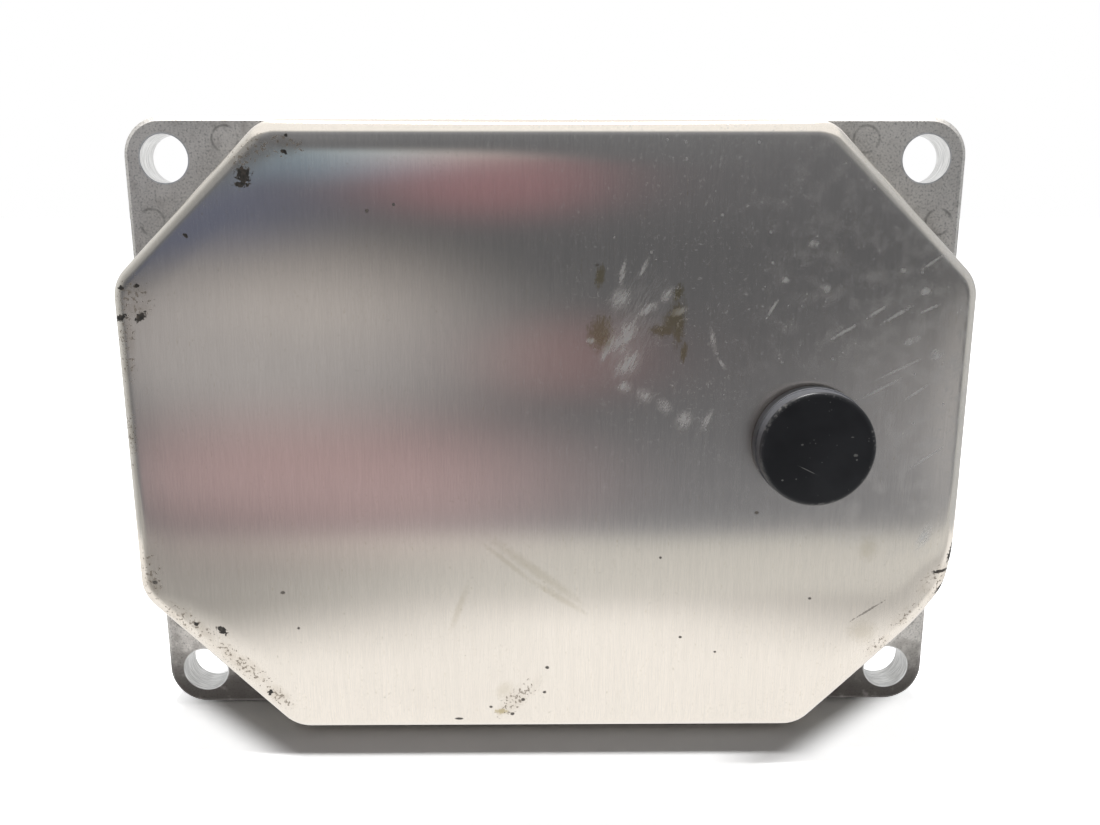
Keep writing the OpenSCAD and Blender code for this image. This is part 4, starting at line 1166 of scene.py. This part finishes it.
def card_mesh(sizes, depth):
    """A strip bent round the front: a panel across it, lowest in the middle, and a wing along each side."""
    right = np.array([
        (CARD_MIDDLE * sizes.card_wide, depth, sizes.card_top),
        (sizes.card_wide, depth, CARD_CORNER * sizes.wing_top),
        (sizes.card_wide, sizes.card_wing, sizes.wing_top),
    ])
    columns = np.concatenate((right[::-1] * (-1, 1, 1), right))
    feet = np.column_stack((columns[:, :2], np.full(len(columns), FLOOR_Z)))
    near = np.arange(len(columns) - 1)
    faces = np.column_stack((near, near + 1, near + 1 + len(columns), near + len(columns)))
    mesh = bpy.data.meshes.new("card")
    mesh.from_pydata(np.concatenate((feet, columns)), [], faces.tolist())
    return mesh


def add_lamp(name, place, aim, size, power):
    """A flat lamp of a width and depth that faces the aim."""
    data = bpy.data.lights.new(name, "AREA")
    data.shape = "RECTANGLE"
    data.size, data.size_y = size
    data.energy = power
    lamp = add_object(name, data)
    lamp.location = place
    lamp.rotation_euler = (Vector(aim) - Vector(place)).to_track_quat("-Z", "Y").to_euler()


LAMP_PLACE = (0, 0.030, 0.80)
LAMP_AIM = (0, 0.02, 0)
LAMP_SIZE = (0.26, 0.01)
SENSOR_WIDTH = 36
CLIP_START = 5 * MM


class ECU_OT_stage(bpy.types.Operator):
    """Set up the floor, the card, the lamp and the camera"""

    bl_idname = "ecu.stage"
    bl_label = "Stage"

    def execute(self, context):
        scene = context.scene
        sizes = scene.ecu_stage
        reach = sizes.floor
        floor = [(x * reach, y * reach, FLOOR_Z) for x, y in ((-1, -1), (1, -1), (1, 1), (-1, 1))]
        depth = COVER_LOW.y - sizes.card_gap
        add_stage("floor", flat_mesh("floor", floor), white_floor(depth / MM))
        shades = grey_card(FLOOR_Z / MM, sizes.card_top / MM, sizes.card_wide / MM)
        card = add_stage("card", card_mesh(sizes, depth), shades)
        for kind in ("camera", "diffuse", "transmission", "shadow"):
            setattr(card, f"visible_{kind}", False)

        add_lamp("top_lamp", LAMP_PLACE, LAMP_AIM, LAMP_SIZE, sizes.top_power)

        world = bpy.data.worlds.new("studio")
        world.use_nodes = True
        nodes = Nodes(world.node_tree)
        background = world.node_tree.nodes["Background"]
        background.inputs["Color"].default_value = (1.0, 1.0, 1.0, 1.0)
        direct = ray(nodes, "Camera").math("MAXIMUM", mirrored(nodes))
        nodes.plug(background.inputs["Strength"], sizes.fill + direct * (1 - sizes.fill))
        scene.world = world

        lens = bpy.data.cameras.new("camera")
        lens.lens = sizes.lens
        lens.sensor_width = SENSOR_WIDTH
        lens.clip_start = CLIP_START
        camera = add_object("camera", lens)
        camera.location = sizes.camera
        camera.rotation_euler = (math.pi / 2 - sizes.tilt, 0, sizes.swing)
        scene.camera = camera
        scene.view_settings.view_transform = "Standard"
        return {"FINISHED"}


# Add-on

OPERATORS = (ECU_OT_housing, ECU_OT_cover, ECU_OT_breather, ECU_OT_sockets, ECU_OT_electronics, ECU_OT_stage)
SETTINGS = {
    "ecu_cover": CoverSizes,
    "ecu_breather": BreatherSizes,
    "ecu_castings": CastingSizes,
    "ecu_colours": FinishColours,
    "ecu_stage": StageSizes,
}


class ECU_PT_sidebar(bpy.types.Panel):
    """Lists the pieces and their sizes"""

    bl_idname = "ECU_PT_sidebar"
    bl_label = "Control unit"
    bl_space_type = "VIEW_3D"
    bl_region_type = "UI"
    bl_category = "Control unit"

    def draw(self, context):
        for operator in OPERATORS:
            self.layout.operator(operator.bl_idname)
        for name, group in SETTINGS.items():
            box = self.layout.box()
            for setting in group.__annotations__:
                box.prop(getattr(context.scene, name), setting)


def register():
    """Adds the settings, the operators and the panel to Blender."""
    for name, group in SETTINGS.items():
        bpy.utils.register_class(group)
        setattr(bpy.types.Scene, name, PointerProperty(type=group))
    for operator in OPERATORS:
        bpy.utils.register_class(operator)
    bpy.utils.register_class(ECU_PT_sidebar)


def unregister():
    """Takes them out again."""
    bpy.utils.unregister_class(ECU_PT_sidebar)
    for operator in reversed(OPERATORS):
        bpy.utils.unregister_class(operator)
    for name, group in SETTINGS.items():
        delattr(bpy.types.Scene, name)
        bpy.utils.unregister_class(group)


def main():
    """Makes every piece and the stage."""
    register()
    bpy.ops.ecu.housing()
    bpy.ops.ecu.cover()
    bpy.ops.ecu.breather()
    bpy.ops.ecu.sockets()
    bpy.ops.ecu.electronics()
    bpy.ops.ecu.stage()


if __name__ == "__main__":
    main()
